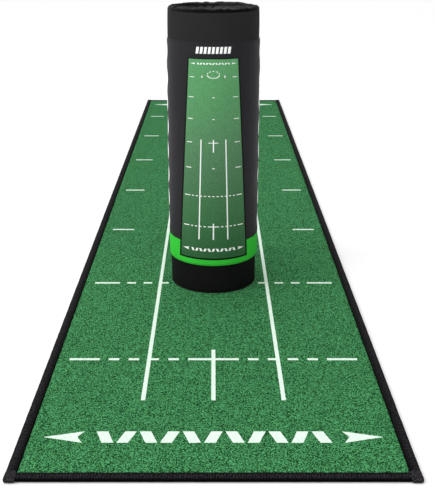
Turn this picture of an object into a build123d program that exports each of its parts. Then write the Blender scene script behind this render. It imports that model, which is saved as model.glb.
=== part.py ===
"""Practice putting mat with its storage bag, in millimetres.

The mat lies flat with its near end at -Y. The bag stands upright on it, and its
drawstring mouth faces up. The origin is on the floor, under the mat's centre.
"""
from build123d import *
from math import atan2, cos, sin, sqrt
import os

# Mat
MAT_WIDTH = 500.0
MAT_LENGTH = 2400.0
UNDERLAY_THICKNESS = 3.0
BACKING_THICKNESS = 0.6
PILE_HEIGHT = 2.6
PILE_UNDER_BINDING = 1.4
MARKING_DEPTH = 1.4

# Edge binding: a folded tape, sewn through the mat
TAPE_THICKNESS = 0.9
TAPE_COVER = 13.0
TAPE_EDGE_RADIUS = 0.85
TAPE_END_FOLD = 2.4
TAPE_STEP = 2.0
THREAD_WIDTH = 0.8
THREAD_HEIGHT = 0.35
THREAD_INSET = 2.6

# White pile markings
LINE_WIDTH = 6.0
ROW_PITCH = 300.0
ROW_COUNT = 7
TICK_LENGTH = 46.0
TICK_CENTRE = 196.0
LANE_OFFSET = 98.0
LANE_START = 179.0
LANE_END = 1240.0
DASH_LENGTH = 16.0
DASH_PITCH = 30.3
CROSS_BAR = 77.0
FIRST_CROSS_END = 331.0
SECOND_CROSS_ROW = 4
SECOND_CROSS_BEFORE = 114.0
SECOND_CROSS_AFTER = 40.0
CENTRE_TICK = 20.0
HOLE_CENTRE = 2140.0
HOLE_RING_RADIUS = 54.0
HOLE_RING_DASHES = 5
HOLE_MARK_OFFSET = 102.0
HOLE_MARK_CENTRE = 2108.0
HOLE_MARK_LENGTH = 34.0
END_BAND_START = 74.0
END_BAND_DEPTH = 26.0
END_BAND_HALF_WIDTH = 140.0
END_BAND_BARS = 11
END_BAR_WIDTH = 15.0
END_BAR_LEAN = 9.0
ARROW_TIP = 219.0
ARROW_TAIL = 168.0
ARROW_NOTCH = 8.0

# Storage bag
BAG_AXIS_Y = -571.0
BAG_RADIUS = 77.6
WALL = 1.4
BOARD_THICKNESS = 3.0
BASE_FABRIC = 1.2
BASE_ROUNDING = 1.0
BASE_PANEL_TOP = 66.0
BAND_BOTTOM = 59.8
BAND_TOP = 100.3
SLEEVE_TOP = 448.0
SLEEVE_RADIUS_LOW = 80.2
SLEEVE_RADIUS_HIGH = 78.9
SLEEVE_FABRIC = 0.8
CUFF_BOTTOM = 437.0
CUFF_TOP = 493.0
LINING = 0.8
SEAM_TAPE_WIDTH = 16.0
SEAM_TAPE_THICKNESS = 0.5
SEAM_TAPE_BOTTOM = 63.5
SEAM_TAPE_TOP = 444.0
SEAM_THREAD = 0.5
BAND_SEAM_RISE = 2.0
CUFF_SEAM_DROP = 3.0

# Gathered mouth, drawcord and cord lock
GATHER_THICKNESS = 1.2
GATHER_RISE = 0.6
GATHER_SHOULDER = 72.0
GATHER_SHOULDER_Z = 498.6
HEM_RADIUS = 21.0
HEM_WIDTH = 7.2
HEM_HEIGHT = 6.0
HEM_CORNER = 1.4
HEM_MIDDLE_Z = 498.8
CORD_RADIUS = 1.3
CHANNEL_RADIUS = 1.4
CORD_SPACING = 1.6
CORD_BEND = 4.0
CORD_DROP_Y = -3.0
CORD_DROP = 34.0
GROMMET_THICKNESS = 0.8
EXIT_WIDTH = 15.0
EXIT_HEIGHT = 3.2
GROMMET_HEIGHT = 5.2
GROMMET_MARGIN = 2.0
KNOT_RADIUS = 4.2
KNOT_LENGTH = 8.0
KNOT_ROUNDING = 1.9
LOCK_RADIUS = 6.6
LOCK_BORE = 4.95
LOCK_LENGTH = 16.0
LOCK_FLOOR = 2.0
LOCK_TOP_Z = 493.8
LOCK_MOUTH = 5.6
LOCK_RIM_ROUND = 1.2
SLOT_HALF_WIDTH = 3.1
SLOT_HALF_GAP = 1.5
BUTTON_RADIUS = 4.9
BUTTON_PROUD = 4.2
BUTTON_TRAVEL = 3.0
SPRING_SOLID_LENGTH = 1.4
SPRING_RADIUS = 3.4
SPRING_WIRE = 0.35
SPRING_TURNS = 5

# Printed films on the bag
FILM = 0.4
PANEL_BOTTOM = 70.9
PANEL_TOP = 422.7
PANEL_HALF_BOTTOM = 60.1
PANEL_HALF_TOP = 42.7
TITLE_MIDDLE_Z = 435.5
TITLE_HEIGHT = 11.0
TITLE_BARS = 9
TITLE_BAR_WIDTH = 4.4
TITLE_BAR_PITCH = 6.6
SIDE_PRINT_FIRST_Z = 124.0
SIDE_PRINT_PITCH = 43.0
SIDE_PRINT_COUNT = 8
SIDE_PRINT_HEIGHT = 38.0
SIDE_PRINT_WIDTH = 36.0
SIDE_FILM_TOP = 447.0

HALF_WIDTH = MAT_WIDTH / 2
HALF_LENGTH = MAT_LENGTH / 2
CORE_HALF_WIDTH = HALF_WIDTH - TAPE_THICKNESS
CORE_HALF_LENGTH = HALF_LENGTH - TAPE_THICKNESS
BACKING_TOP = UNDERLAY_THICKNESS + BACKING_THICKNESS
PILE_TOP = BACKING_TOP + PILE_HEIGHT
CRUSHED_TOP = BACKING_TOP + PILE_UNDER_BINDING
TAPE_TOP = CRUSHED_TOP + TAPE_THICKNESS
OPEN_HALF_WIDTH = HALF_WIDTH - TAPE_COVER
OPEN_HALF_LENGTH = HALF_LENGTH - TAPE_COVER
BAG_FLOOR = PILE_TOP
BAG_PLANE = Plane((0, BAG_AXIS_Y, 0))
BAG_PROFILE = Plane((0, BAG_AXIS_Y, 0), x_dir=(1, 0, 0), z_dir=(0, -1, 0))

os.makedirs("parts", exist_ok=True)


def save(part, name):
    """Label a finished piece and write its STEP file."""
    part.label = name
    export_step(part, f"parts/{name}.step")


def row_y(row):
    """Y of a distance row, counted from the near end."""
    return ROW_PITCH * row - HALF_LENGTH


def sleeve_radius(z):
    """Outer radius of the padded sleeve, which narrows slowly towards the mouth."""
    share = (z - BAND_BOTTOM) / (SLEEVE_TOP - BAND_BOTTOM)
    return SLEEVE_RADIUS_LOW + share * (SLEEVE_RADIUS_HIGH - SLEEVE_RADIUS_LOW)


# ---------------------------------------------------------------- mat layers
with BuildPart() as underlay:
    with BuildSketch():
        Rectangle(2 * OPEN_HALF_WIDTH, 2 * OPEN_HALF_LENGTH)
    extrude(amount=TAPE_THICKNESS)
    with BuildSketch(Plane.XY.offset(TAPE_THICKNESS)):
        Rectangle(2 * CORE_HALF_WIDTH, 2 * CORE_HALF_LENGTH)
    extrude(amount=UNDERLAY_THICKNESS - TAPE_THICKNESS)
save(underlay.part, "rubber_underlay")

with BuildPart() as backing:
    with BuildSketch(Plane.XY.offset(UNDERLAY_THICKNESS)):
        Rectangle(2 * CORE_HALF_WIDTH, 2 * CORE_HALF_LENGTH)
    extrude(amount=BACKING_THICKNESS)
save(backing.part, "primary_backing")


# ---------------------------------------------------------------- markings
with BuildSketch(Plane.XY.offset(PILE_TOP)) as markings:
    for side in (-1, 1):
        for row in range(1, ROW_COUNT + 1):
            with Locations((side * TICK_CENTRE, row_y(row))):
                Rectangle(TICK_LENGTH, LINE_WIDTH)
        with Locations((side * LANE_OFFSET, (LANE_START + LANE_END) / 2 - HALF_LENGTH)):
            Rectangle(LINE_WIDTH, LANE_END - LANE_START)
        for step in range(2, 6):
            for row in (1, 2):
                with Locations((side * step * DASH_PITCH, row_y(row))):
                    Rectangle(DASH_LENGTH, LINE_WIDTH)
        with Locations((side * DASH_PITCH, row_y(2))):
            Rectangle(DASH_LENGTH, LINE_WIDTH)
        with Locations((side * HOLE_MARK_OFFSET, HOLE_MARK_CENTRE - HALF_LENGTH)):
            Rectangle(LINE_WIDTH, HOLE_MARK_LENGTH)
    with Locations((0, row_y(2))):
        Rectangle(DASH_LENGTH, LINE_WIDTH)
    for row in (3, 5, 6):
        with Locations((0, row_y(row))):
            Rectangle(CENTRE_TICK, LINE_WIDTH)
    for row in (1, SECOND_CROSS_ROW):
        with Locations((0, row_y(row))):
            Rectangle(CROSS_BAR, LINE_WIDTH)
    with Locations((0, (LANE_START + FIRST_CROSS_END) / 2 - HALF_LENGTH)):
        Rectangle(LINE_WIDTH, FIRST_CROSS_END - LANE_START)
    second_middle = row_y(SECOND_CROSS_ROW) + (SECOND_CROSS_AFTER - SECOND_CROSS_BEFORE) / 2
    with Locations((0, second_middle)):
        Rectangle(LINE_WIDTH, SECOND_CROSS_BEFORE + SECOND_CROSS_AFTER)
    for end in (-1, 1):
        band_y = end * (HALF_LENGTH - END_BAND_START - END_BAND_DEPTH / 2)
        for side in (-1, 1):
            with BuildLine():
                Polyline(
                    (side * ARROW_TIP, band_y),
                    (side * ARROW_TAIL, band_y + END_BAND_DEPTH / 2),
                    (side * (ARROW_TAIL + ARROW_NOTCH), band_y),
                    (side * ARROW_TAIL, band_y - END_BAND_DEPTH / 2),
                    close=True,
                )
            make_face()
        for bar in range(END_BAND_BARS):
            share = 2 * bar / (END_BAND_BARS - 1) - 1
            lean = END_BAR_LEAN if bar % 2 else -END_BAR_LEAN
            middle = share * END_BAND_HALF_WIDTH
            with BuildLine():
                Polyline(
                    (middle - END_BAR_WIDTH / 2 - lean / 2, band_y - END_BAND_DEPTH / 2),
                    (middle + END_BAR_WIDTH / 2 - lean / 2, band_y - END_BAND_DEPTH / 2),
                    (middle + END_BAR_WIDTH / 2 + lean / 2, band_y + END_BAND_DEPTH / 2),
                    (middle - END_BAR_WIDTH / 2 + lean / 2, band_y + END_BAND_DEPTH / 2),
                    close=True,
                )
            make_face()

with BuildSketch(Plane((0, HOLE_CENTRE - HALF_LENGTH, PILE_TOP))) as hole_ring:
    Circle(HOLE_RING_RADIUS + LINE_WIDTH / 2)
    Circle(HOLE_RING_RADIUS - LINE_WIDTH / 2, mode=Mode.SUBTRACT)
    with PolarLocations(HOLE_RING_RADIUS, HOLE_RING_DASHES + 1, angular_range=180, endpoint=True):
        Rectangle(3 * LINE_WIDTH, 2 * LINE_WIDTH, mode=Mode.SUBTRACT)

with BuildPart() as pile:
    with BuildSketch(Plane.XY.offset(BACKING_TOP)):
        Rectangle(2 * CORE_HALF_WIDTH, 2 * CORE_HALF_LENGTH)
    extrude(amount=PILE_UNDER_BINDING)
    with BuildSketch(Plane.XY.offset(CRUSHED_TOP)):
        Rectangle(2 * OPEN_HALF_WIDTH, 2 * OPEN_HALF_LENGTH)
    extrude(amount=PILE_TOP - CRUSHED_TOP)
    extrude(to_extrude=markings.sketch, amount=-MARKING_DEPTH, mode=Mode.SUBTRACT)
    extrude(to_extrude=hole_ring.sketch, amount=-MARKING_DEPTH, mode=Mode.SUBTRACT)
save(pile.part, "turf_pile")

with BuildPart() as white_pile:
    extrude(to_extrude=markings.sketch, amount=-MARKING_DEPTH)
    extrude(to_extrude=hole_ring.sketch, amount=-MARKING_DEPTH)
save(white_pile.part, "white_pile_markings")


# ---------------------------------------------------------------- edge binding
def side_binding(side):
    """A tape folded round one long edge, with its ends folded over the corners."""
    plane = Plane((side * HALF_WIDTH, 0, 0), x_dir=(-side, 0, 0), z_dir=(0, side, 0))
    with BuildPart() as tape:
        with BuildSketch(plane):
            with Locations((TAPE_COVER / 2, TAPE_TOP / 2)):
                Rectangle(TAPE_COVER, TAPE_TOP)
        extrude(amount=HALF_LENGTH, both=True)
        outer_edges = tape.edges().filter_by(Axis.Y).filter_by(
            lambda edge: abs(edge.center().X) > HALF_WIDTH - TAPE_THICKNESS
        )
        fillet(outer_edges, TAPE_EDGE_RADIUS)
        with BuildSketch(plane):
            with Locations((TAPE_THICKNESS + TAPE_COVER / 2, (TAPE_THICKNESS + CRUSHED_TOP) / 2)):
                Rectangle(TAPE_COVER, CRUSHED_TOP - TAPE_THICKNESS)
        extrude(amount=HALF_LENGTH, both=True, mode=Mode.SUBTRACT)
        for end in (-1, 1):
            corner_length = TAPE_STEP + TAPE_COVER + TAPE_END_FOLD
            corner_y = end * (HALF_LENGTH + TAPE_END_FOLD - corner_length / 2)
            corner_z = TAPE_TOP + TAPE_THICKNESS / 2
            with Locations((side * (HALF_WIDTH - TAPE_COVER / 2), corner_y, corner_z)):
                Box(TAPE_COVER, corner_length, TAPE_THICKNESS)
            seat_y = end * (HALF_LENGTH - TAPE_COVER / 2)
            with Locations((side * (HALF_WIDTH - TAPE_COVER / 2), seat_y, TAPE_TOP - TAPE_THICKNESS / 2)):
                Box(TAPE_COVER, TAPE_COVER, TAPE_THICKNESS, mode=Mode.SUBTRACT)
            fold_y = end * (HALF_LENGTH + TAPE_END_FOLD / 2)
            with Locations((side * (HALF_WIDTH - TAPE_COVER / 2), fold_y, TAPE_TOP / 2)):
                Box(TAPE_COVER, TAPE_END_FOLD, TAPE_TOP)
            wall_y = end * (HALF_LENGTH - TAPE_COVER / 2)
            with Locations((side * (HALF_WIDTH - TAPE_THICKNESS / 2), wall_y, TAPE_TOP - TAPE_THICKNESS)):
                Box(TAPE_THICKNESS, TAPE_COVER, 2 * TAPE_THICKNESS)
        fold_edges = tape.edges().filter_by(Axis.Z).filter_by(
            lambda edge: abs(edge.center().Y) > HALF_LENGTH + TAPE_END_FOLD / 2
        )
        fillet(fold_edges, TAPE_END_FOLD / 2)
    return tape.part


def end_binding(end):
    """A tape folded round one short edge, whose ends lie under the side tapes."""
    plane = Plane((0, end * HALF_LENGTH, 0), x_dir=(0, -end, 0), z_dir=(-end, 0, 0))
    with BuildPart() as tape:
        with BuildSketch(plane):
            with Locations((TAPE_COVER / 2, TAPE_TOP / 2)):
                Rectangle(TAPE_COVER, TAPE_TOP)
        extrude(amount=CORE_HALF_WIDTH, both=True)
        outer_edges = tape.edges().filter_by(Axis.X).filter_by(
            lambda edge: abs(edge.center().Y) > HALF_LENGTH - TAPE_THICKNESS
        )
        fillet(outer_edges, TAPE_EDGE_RADIUS)
        with BuildSketch(plane):
            with Locations((TAPE_THICKNESS + TAPE_COVER / 2, (TAPE_THICKNESS + CRUSHED_TOP) / 2)):
                Rectangle(TAPE_COVER, CRUSHED_TOP - TAPE_THICKNESS)
        extrude(amount=HALF_WIDTH, both=True, mode=Mode.SUBTRACT)
        for side in (-1, 1):
            under_y = end * (HALF_LENGTH - TAPE_COVER / 2)
            with Locations((side * (HALF_WIDTH - TAPE_COVER / 2), under_y, TAPE_THICKNESS / 2)):
                Box(TAPE_COVER, TAPE_COVER, TAPE_THICKNESS, mode=Mode.SUBTRACT)
    return tape.part


def binding_thread(centre, along_x, along_y, top):
    """The visible row of stitching on a tape, laid in a straight bead."""
    with BuildPart() as thread:
        with BuildSketch(Plane((*centre, top))):
            Rectangle(along_x, along_y)
        extrude(amount=THREAD_HEIGHT)
    return thread.part


for side, side_name in ((-1, "left"), (1, "right")):
    save(side_binding(side), f"{side_name}_edge_binding")
    thread_x = side * (OPEN_HALF_WIDTH + THREAD_INSET)
    thread_length = 2 * (OPEN_HALF_LENGTH - TAPE_STEP)
    row = binding_thread((thread_x, 0), THREAD_WIDTH, thread_length, TAPE_TOP)
    save(row, f"{side_name}_edge_stitching")

for end, end_name in ((-1, "near"), (1, "far")):
    save(end_binding(end), f"{end_name}_end_binding")
    thread_y = end * (OPEN_HALF_LENGTH + THREAD_INSET)
    thread_length = 2 * OPEN_HALF_WIDTH
    row = binding_thread((0, thread_y), thread_length, THREAD_WIDTH, TAPE_TOP)
    save(row, f"{end_name}_end_stitching")


# ---------------------------------------------------------------- bag shells
def ring_of(points):
    """A closed profile of radius and height points, turned about the bag's axis."""
    with BuildPart() as ring:
        with BuildSketch(BAG_PROFILE):
            with BuildLine():
                Polyline(*points, close=True)
            make_face()
        revolve(axis=Axis((0, BAG_AXIS_Y, 0), (0, 0, 1)))
    return ring.part


def tube(inner, outer, low, high):
    """A plain round tube on the bag's axis."""
    return ring_of([(inner, low), (outer, low), (outer, high), (inner, high)])


def skin(offset_in, offset_out, low, high):
    """A layer of the tapering sleeve, between two depths below its outer face."""
    return ring_of([
        (sleeve_radius(low) - offset_in, low),
        (sleeve_radius(low) - offset_out, low),
        (sleeve_radius(high) - offset_out, high),
        (sleeve_radius(high) - offset_in, high),
    ])


with BuildPart() as base_disc:
    with BuildSketch(BAG_PLANE.offset(BAG_FLOOR)):
        Circle(BAG_RADIUS)
    extrude(amount=BASE_FABRIC)
    fillet(base_disc.edges().sort_by(Axis.Z)[0], BASE_ROUNDING)
save(base_disc.part, "bag_base_fabric")

BOARD_Z = BAG_FLOOR + BASE_FABRIC
with BuildPart() as board:
    with BuildSketch(BAG_PLANE.offset(BOARD_Z)):
        Circle(BAG_RADIUS - WALL)
    extrude(amount=BOARD_THICKNESS)
save(board.part, "bag_base_board")

save(tube(BAG_RADIUS - WALL, BAG_RADIUS, BOARD_Z, BASE_PANEL_TOP), "bag_base_panel")
save(skin(SLEEVE_FABRIC, 0, BAND_BOTTOM, BAND_TOP), "green_band")
save(skin(SLEEVE_FABRIC, 0, BAND_TOP, SLEEVE_TOP), "outer_sleeve")

foam = ring_of([
    (BAG_RADIUS, BAND_BOTTOM),
    (sleeve_radius(BAND_BOTTOM) - SLEEVE_FABRIC, BAND_BOTTOM),
    (sleeve_radius(SLEEVE_TOP) - SLEEVE_FABRIC, SLEEVE_TOP),
    (BAG_RADIUS, SLEEVE_TOP),
])
save(foam, "foam_padding")
save(tube(BAG_RADIUS - LINING, BAG_RADIUS, BASE_PANEL_TOP, CUFF_BOTTOM), "inner_lining")
save(tube(BAG_RADIUS - WALL, BAG_RADIUS, CUFF_BOTTOM, CUFF_TOP), "top_cuff")

for seam_name, seam_z in (
    ("band_lower_stitching", BAND_BOTTOM + BAND_SEAM_RISE),
    ("cuff_stitching", SLEEVE_TOP - CUFF_SEAM_DROP),
):
    seam_radius = sleeve_radius(seam_z)
    thread = tube(seam_radius, seam_radius + SEAM_THREAD / 2, seam_z, seam_z + SEAM_THREAD)
    save(thread, seam_name)

with BuildPart() as back_seam:
    add(skin(0, -SEAM_TAPE_THICKNESS, SEAM_TAPE_BOTTOM, SEAM_TAPE_TOP))
    with BuildSketch(Plane((0, BAG_AXIS_Y, SEAM_TAPE_BOTTOM))):
        with Locations((0, BAG_RADIUS)):
            Rectangle(SEAM_TAPE_WIDTH, BAG_RADIUS)
    extrude(amount=SEAM_TAPE_TOP - SEAM_TAPE_BOTTOM, mode=Mode.INTERSECT)
save(back_seam.part, "back_seam_tape")


# ---------------------------------------------------------------- gathered mouth
HEM_INNER = HEM_RADIUS - HEM_WIDTH / 2
HEM_OUTER = HEM_RADIUS + HEM_WIDTH / 2
GATHER_END_Z = HEM_MIDDLE_Z + GATHER_THICKNESS / 2

with BuildPart() as gather:
    with BuildSketch(BAG_PROFILE):
        with BuildLine():
            outside = Line((BAG_RADIUS, CUFF_TOP), (BAG_RADIUS, CUFF_TOP + GATHER_RISE))
            shoulder = (GATHER_SHOULDER, GATHER_SHOULDER_Z)
            crown = TangentArc(outside @ 1, shoulder, tangent=outside % 1)
            slope = Line(crown @ 1, (HEM_OUTER, GATHER_END_Z))
            mouth_end = Line(slope @ 1, (HEM_OUTER, GATHER_END_Z - GATHER_THICKNESS))
            under = Line(mouth_end @ 1, (GATHER_SHOULDER, GATHER_SHOULDER_Z - GATHER_THICKNESS))
            inner_corner = (BAG_RADIUS - WALL, CUFF_TOP)
            TangentArc(inner_corner, under @ 1, tangent=(0, 1))
            Line(inner_corner, outside @ 0)
        make_face()
    revolve(axis=Axis((0, BAG_AXIS_Y, 0), (0, 0, 1)))
save(gather.part, "gathered_top")

with BuildPart() as hem:
    with BuildSketch(BAG_PROFILE):
        with Locations((HEM_RADIUS, HEM_MIDDLE_Z)):
            RectangleRounded(HEM_WIDTH, HEM_HEIGHT, HEM_CORNER)
            Circle(CHANNEL_RADIUS, mode=Mode.SUBTRACT)
    revolve(axis=Axis((0, BAG_AXIS_Y, 0), (0, 0, 1)))
    with Locations((0, BAG_AXIS_Y - HEM_INNER, HEM_MIDDLE_Z)):
        Box(EXIT_WIDTH, HEM_WIDTH, EXIT_HEIGHT, mode=Mode.SUBTRACT)
save(hem.part, "mouth_hem")

with BuildPart() as grommet:
    grommet_low = HEM_MIDDLE_Z - GROMMET_HEIGHT / 2
    add(tube(HEM_INNER - GROMMET_THICKNESS, HEM_INNER, grommet_low, grommet_low + GROMMET_HEIGHT))
    with Locations((0, BAG_AXIS_Y - HEM_INNER, HEM_MIDDLE_Z)):
        Box(EXIT_WIDTH + 2 * GROMMET_MARGIN, HEM_INNER, HEM_HEIGHT, mode=Mode.INTERSECT)
        Box(EXIT_WIDTH, HEM_INNER, EXIT_HEIGHT, mode=Mode.SUBTRACT)
save(grommet.part, "cord_exit_binding")

# The drawcord runs round the hem, turns in through the exit, and drops into the mouth.
bend_x = CORD_SPACING + CORD_BEND
bend_y = -sqrt((HEM_RADIUS - CORD_BEND) ** 2 - bend_x**2)
join_angle = atan2(bend_y, bend_x)
with BuildPart() as cord:
    with BuildLine() as cord_path:
        for side in (-1, 1):
            foot = (side * CORD_SPACING, CORD_DROP_Y, -CORD_BEND)
            Line((foot[0], foot[1], -CORD_DROP), foot)
            drop_start = (foot[0], CORD_DROP_Y - CORD_BEND, 0)
            TangentArc(foot, drop_start, tangent=(0, 0, 1))
            turn_start = (foot[0], bend_y, 0)
            Line(drop_start, turn_start)
            join = (side * HEM_RADIUS * cos(join_angle), HEM_RADIUS * sin(join_angle), 0)
            TangentArc(turn_start, join, tangent=(0, -1, 0))
            ThreePointArc(join, (side * HEM_RADIUS, 0, 0), (0, HEM_RADIUS, 0))
    cord_line = cord_path.wire().moved(Location((0, BAG_AXIS_Y, HEM_MIDDLE_Z)))
    with BuildSketch(Plane(cord_line @ 0, z_dir=cord_line % 0)):
        Circle(CORD_RADIUS)
    sweep(path=cord_line)
save(cord.part, "drawcord")

with BuildPart() as knot:
    knot_top = HEM_MIDDLE_Z - CORD_DROP
    with BuildSketch(Plane((0, BAG_AXIS_Y + CORD_DROP_Y, knot_top - KNOT_LENGTH))):
        Circle(KNOT_RADIUS)
    extrude(amount=KNOT_LENGTH)
    fillet(knot.edges().filter_by(GeomType.CIRCLE), KNOT_ROUNDING)
save(knot.part, "drawcord_knot")

# The cord lock lies across the two cords, with its button towards the far side.
LOCK_AXIS_Z = LOCK_TOP_Z - LOCK_RADIUS
LOCK_MOUTH_Y = BAG_AXIS_Y + CORD_DROP_Y + LOCK_MOUTH
LOCK_FLOOR_Y = LOCK_MOUTH_Y - LOCK_LENGTH + LOCK_FLOOR
CORD_Y = BAG_AXIS_Y + CORD_DROP_Y


def lock_plane(y):
    """A plane across the lock's axis, facing the button's side."""
    return Plane((0, y, LOCK_AXIS_Z), x_dir=(1, 0, 0), z_dir=(0, 1, 0))


with BuildPart() as lock:
    with BuildSketch(lock_plane(LOCK_MOUTH_Y - LOCK_LENGTH)):
        Circle(LOCK_RADIUS)
    extrude(amount=LOCK_LENGTH)
    fillet(lock.edges().filter_by(GeomType.CIRCLE), LOCK_RIM_ROUND)
    with BuildSketch(lock_plane(LOCK_FLOOR_Y)):
        Circle(LOCK_BORE)
    extrude(amount=LOCK_LENGTH, mode=Mode.SUBTRACT)
    with Locations((0, CORD_Y, LOCK_AXIS_Z)):
        Box(2 * SLOT_HALF_WIDTH, 2 * SLOT_HALF_GAP, 3 * LOCK_RADIUS, mode=Mode.SUBTRACT)
save(lock.part, "cord_lock_body")

BUTTON_INNER_Y = LOCK_FLOOR_Y + BUTTON_TRAVEL + SPRING_SOLID_LENGTH
with BuildPart() as button:
    with BuildSketch(lock_plane(BUTTON_INNER_Y)):
        Circle(BUTTON_RADIUS)
    extrude(amount=LOCK_MOUTH_Y + BUTTON_PROUD - BUTTON_INNER_Y)
    fillet(button.edges().sort_by(Axis.Y)[-1], LOCK_RIM_ROUND)
    slot_low = CORD_Y - SLOT_HALF_GAP
    slot_high = CORD_Y + SLOT_HALF_GAP + BUTTON_TRAVEL
    with Locations((0, (slot_low + slot_high) / 2, LOCK_AXIS_Z)):
        Box(2 * SLOT_HALF_WIDTH, slot_high - slot_low, 3 * LOCK_RADIUS, mode=Mode.SUBTRACT)
save(button.part, "cord_lock_button")

SPRING_START_Y = LOCK_FLOOR_Y + SPRING_WIRE
SPRING_LENGTH = BUTTON_INNER_Y - LOCK_FLOOR_Y - 2 * SPRING_WIRE
with BuildPart() as spring:
    with BuildLine() as coil:
        Helix(
            pitch=SPRING_LENGTH / SPRING_TURNS,
            height=SPRING_LENGTH,
            radius=SPRING_RADIUS,
            center=(0, SPRING_START_Y, LOCK_AXIS_Z),
            direction=(0, 1, 0),
        )
    with BuildSketch(Plane(coil.line @ 0, z_dir=coil.line % 0)):
        Circle(SPRING_WIRE)
    sweep(path=coil.line, is_frenet=True)
save(spring.part, "cord_lock_spring")


# ---------------------------------------------------------------- printed films
def film(low, high):
    """A thin film wrapped on the sleeve, for a print to be cut from."""
    return skin(0, -FILM, low, high)


with BuildPart() as panel:
    add(film(PANEL_BOTTOM, PANEL_TOP))
    with BuildSketch(BAG_PROFILE):
        with BuildLine():
            Polyline(
                (-PANEL_HALF_BOTTOM, PANEL_BOTTOM),
                (PANEL_HALF_BOTTOM, PANEL_BOTTOM),
                (PANEL_HALF_TOP, PANEL_TOP),
                (-PANEL_HALF_TOP, PANEL_TOP),
                close=True,
            )
        make_face()
    extrude(amount=2 * BAG_RADIUS, mode=Mode.INTERSECT)
save(panel.part, "picture_panel")

title_low = TITLE_MIDDLE_Z - TITLE_HEIGHT / 2
with BuildPart() as title:
    add(film(title_low, title_low + TITLE_HEIGHT))
    with BuildSketch(BAG_PROFILE):
        with Locations((0, TITLE_MIDDLE_Z)):
            with GridLocations(TITLE_BAR_PITCH, 1, TITLE_BARS, 1):
                Rectangle(TITLE_BAR_WIDTH, 2 * TITLE_HEIGHT)
    extrude(amount=2 * BAG_RADIUS, mode=Mode.INTERSECT)
save(title.part, "title_print")

for side, side_name in ((-1, "left"), (1, "right")):
    with BuildPart() as side_print:
        add(film(BAND_TOP, SIDE_FILM_TOP))
        print_plane = Plane((0, BAG_AXIS_Y, 0), x_dir=(0, 1, 0), z_dir=(side, 0, 0))
        with BuildSketch(print_plane):
            for count in range(SIDE_PRINT_COUNT):
                print_z = SIDE_PRINT_FIRST_Z + count * SIDE_PRINT_PITCH
                with Locations(print_plane.to_local_coords(Vector(0, BAG_AXIS_Y, print_z))):
                    Ellipse(SIDE_PRINT_WIDTH / 2, SIDE_PRINT_HEIGHT / 2)
        extrude(amount=2 * BAG_RADIUS, mode=Mode.INTERSECT)
    save(side_print.part, f"{side_name}_side_print")
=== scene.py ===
"""Looks of a practice putting mat and its storage bag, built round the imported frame.

Lengths are metres in the frame's axes: +Y runs up the mat from its near end, and +Z is up.
"""

import logging
import math
from collections.abc import Callable, Iterator
from dataclasses import dataclass, field
from enum import Enum

import bpy
from mathutils import Matrix, Vector, noise

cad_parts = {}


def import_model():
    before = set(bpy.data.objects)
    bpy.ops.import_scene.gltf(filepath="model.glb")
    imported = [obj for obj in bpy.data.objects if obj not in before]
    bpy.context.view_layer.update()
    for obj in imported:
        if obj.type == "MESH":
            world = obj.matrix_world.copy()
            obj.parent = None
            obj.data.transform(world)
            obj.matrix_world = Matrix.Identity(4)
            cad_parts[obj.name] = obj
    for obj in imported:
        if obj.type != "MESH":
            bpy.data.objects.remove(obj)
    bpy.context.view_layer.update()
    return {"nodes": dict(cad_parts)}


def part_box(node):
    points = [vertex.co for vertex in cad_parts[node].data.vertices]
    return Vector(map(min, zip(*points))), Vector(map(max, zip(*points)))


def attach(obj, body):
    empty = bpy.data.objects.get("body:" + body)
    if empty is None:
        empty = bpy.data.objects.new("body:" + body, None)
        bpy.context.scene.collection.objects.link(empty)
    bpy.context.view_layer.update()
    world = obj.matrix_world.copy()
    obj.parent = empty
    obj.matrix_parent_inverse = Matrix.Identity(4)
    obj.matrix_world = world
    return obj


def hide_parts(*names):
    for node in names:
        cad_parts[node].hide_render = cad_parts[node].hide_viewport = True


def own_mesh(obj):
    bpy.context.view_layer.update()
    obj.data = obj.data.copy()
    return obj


LOG = logging.getLogger("putting_mat")
MM = 0.001
TURN = 2 * math.pi
Place = Callable[[float, float], Vector]


# ------------------------------------------------------------------ mesh work
def deselect_all() -> None:
    """Leave nothing selected, so that the next operator acts on its own piece alone."""
    if bpy.context.object and bpy.context.object.mode != "OBJECT":
        bpy.ops.object.mode_set(mode="OBJECT")
    bpy.ops.object.select_all(action="DESELECT")


def make_active(piece: bpy.types.Object) -> None:
    """Select one piece alone and make it active.

    Args:
        piece: The piece that the next operators work on.
    """
    deselect_all()
    piece.select_set(True)
    bpy.context.view_layer.objects.active = piece


def settle(piece: bpy.types.Object) -> bpy.types.Object:
    """Move a piece's place into its mesh and leave its object at the origin.

    Args:
        piece: The piece to settle.

    Returns:
        The same piece.
    """
    make_active(piece)
    bpy.ops.object.transform_apply(location=True, rotation=True, scale=True)
    return piece


def edit(piece: bpy.types.Object, *steps: Callable[[], object]) -> None:
    """Run operators on the whole of a piece in edit mode.

    Args:
        piece: The piece to edit.
        steps: Calls without arguments, run in turn with everything selected.
    """
    make_active(piece)
    bpy.ops.object.mode_set(mode="EDIT")
    for step in steps:
        bpy.ops.mesh.select_all(action="SELECT")
        step()
    bpy.ops.object.mode_set(mode="OBJECT")


def face_out(piece: bpy.types.Object, outward: Vector | None) -> None:
    """Turn a piece's faces outwards.

    Args:
        piece: The piece whose faces are turned.
        outward: The direction that its first face should look in, or None for a closed piece.
    """
    if outward is None:
        edit(piece, lambda: bpy.ops.mesh.normals_make_consistent(inside=False))
    elif piece.data.polygons[0].normal.dot(outward) < 0:
        edit(piece, bpy.ops.mesh.flip_normals)


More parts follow.
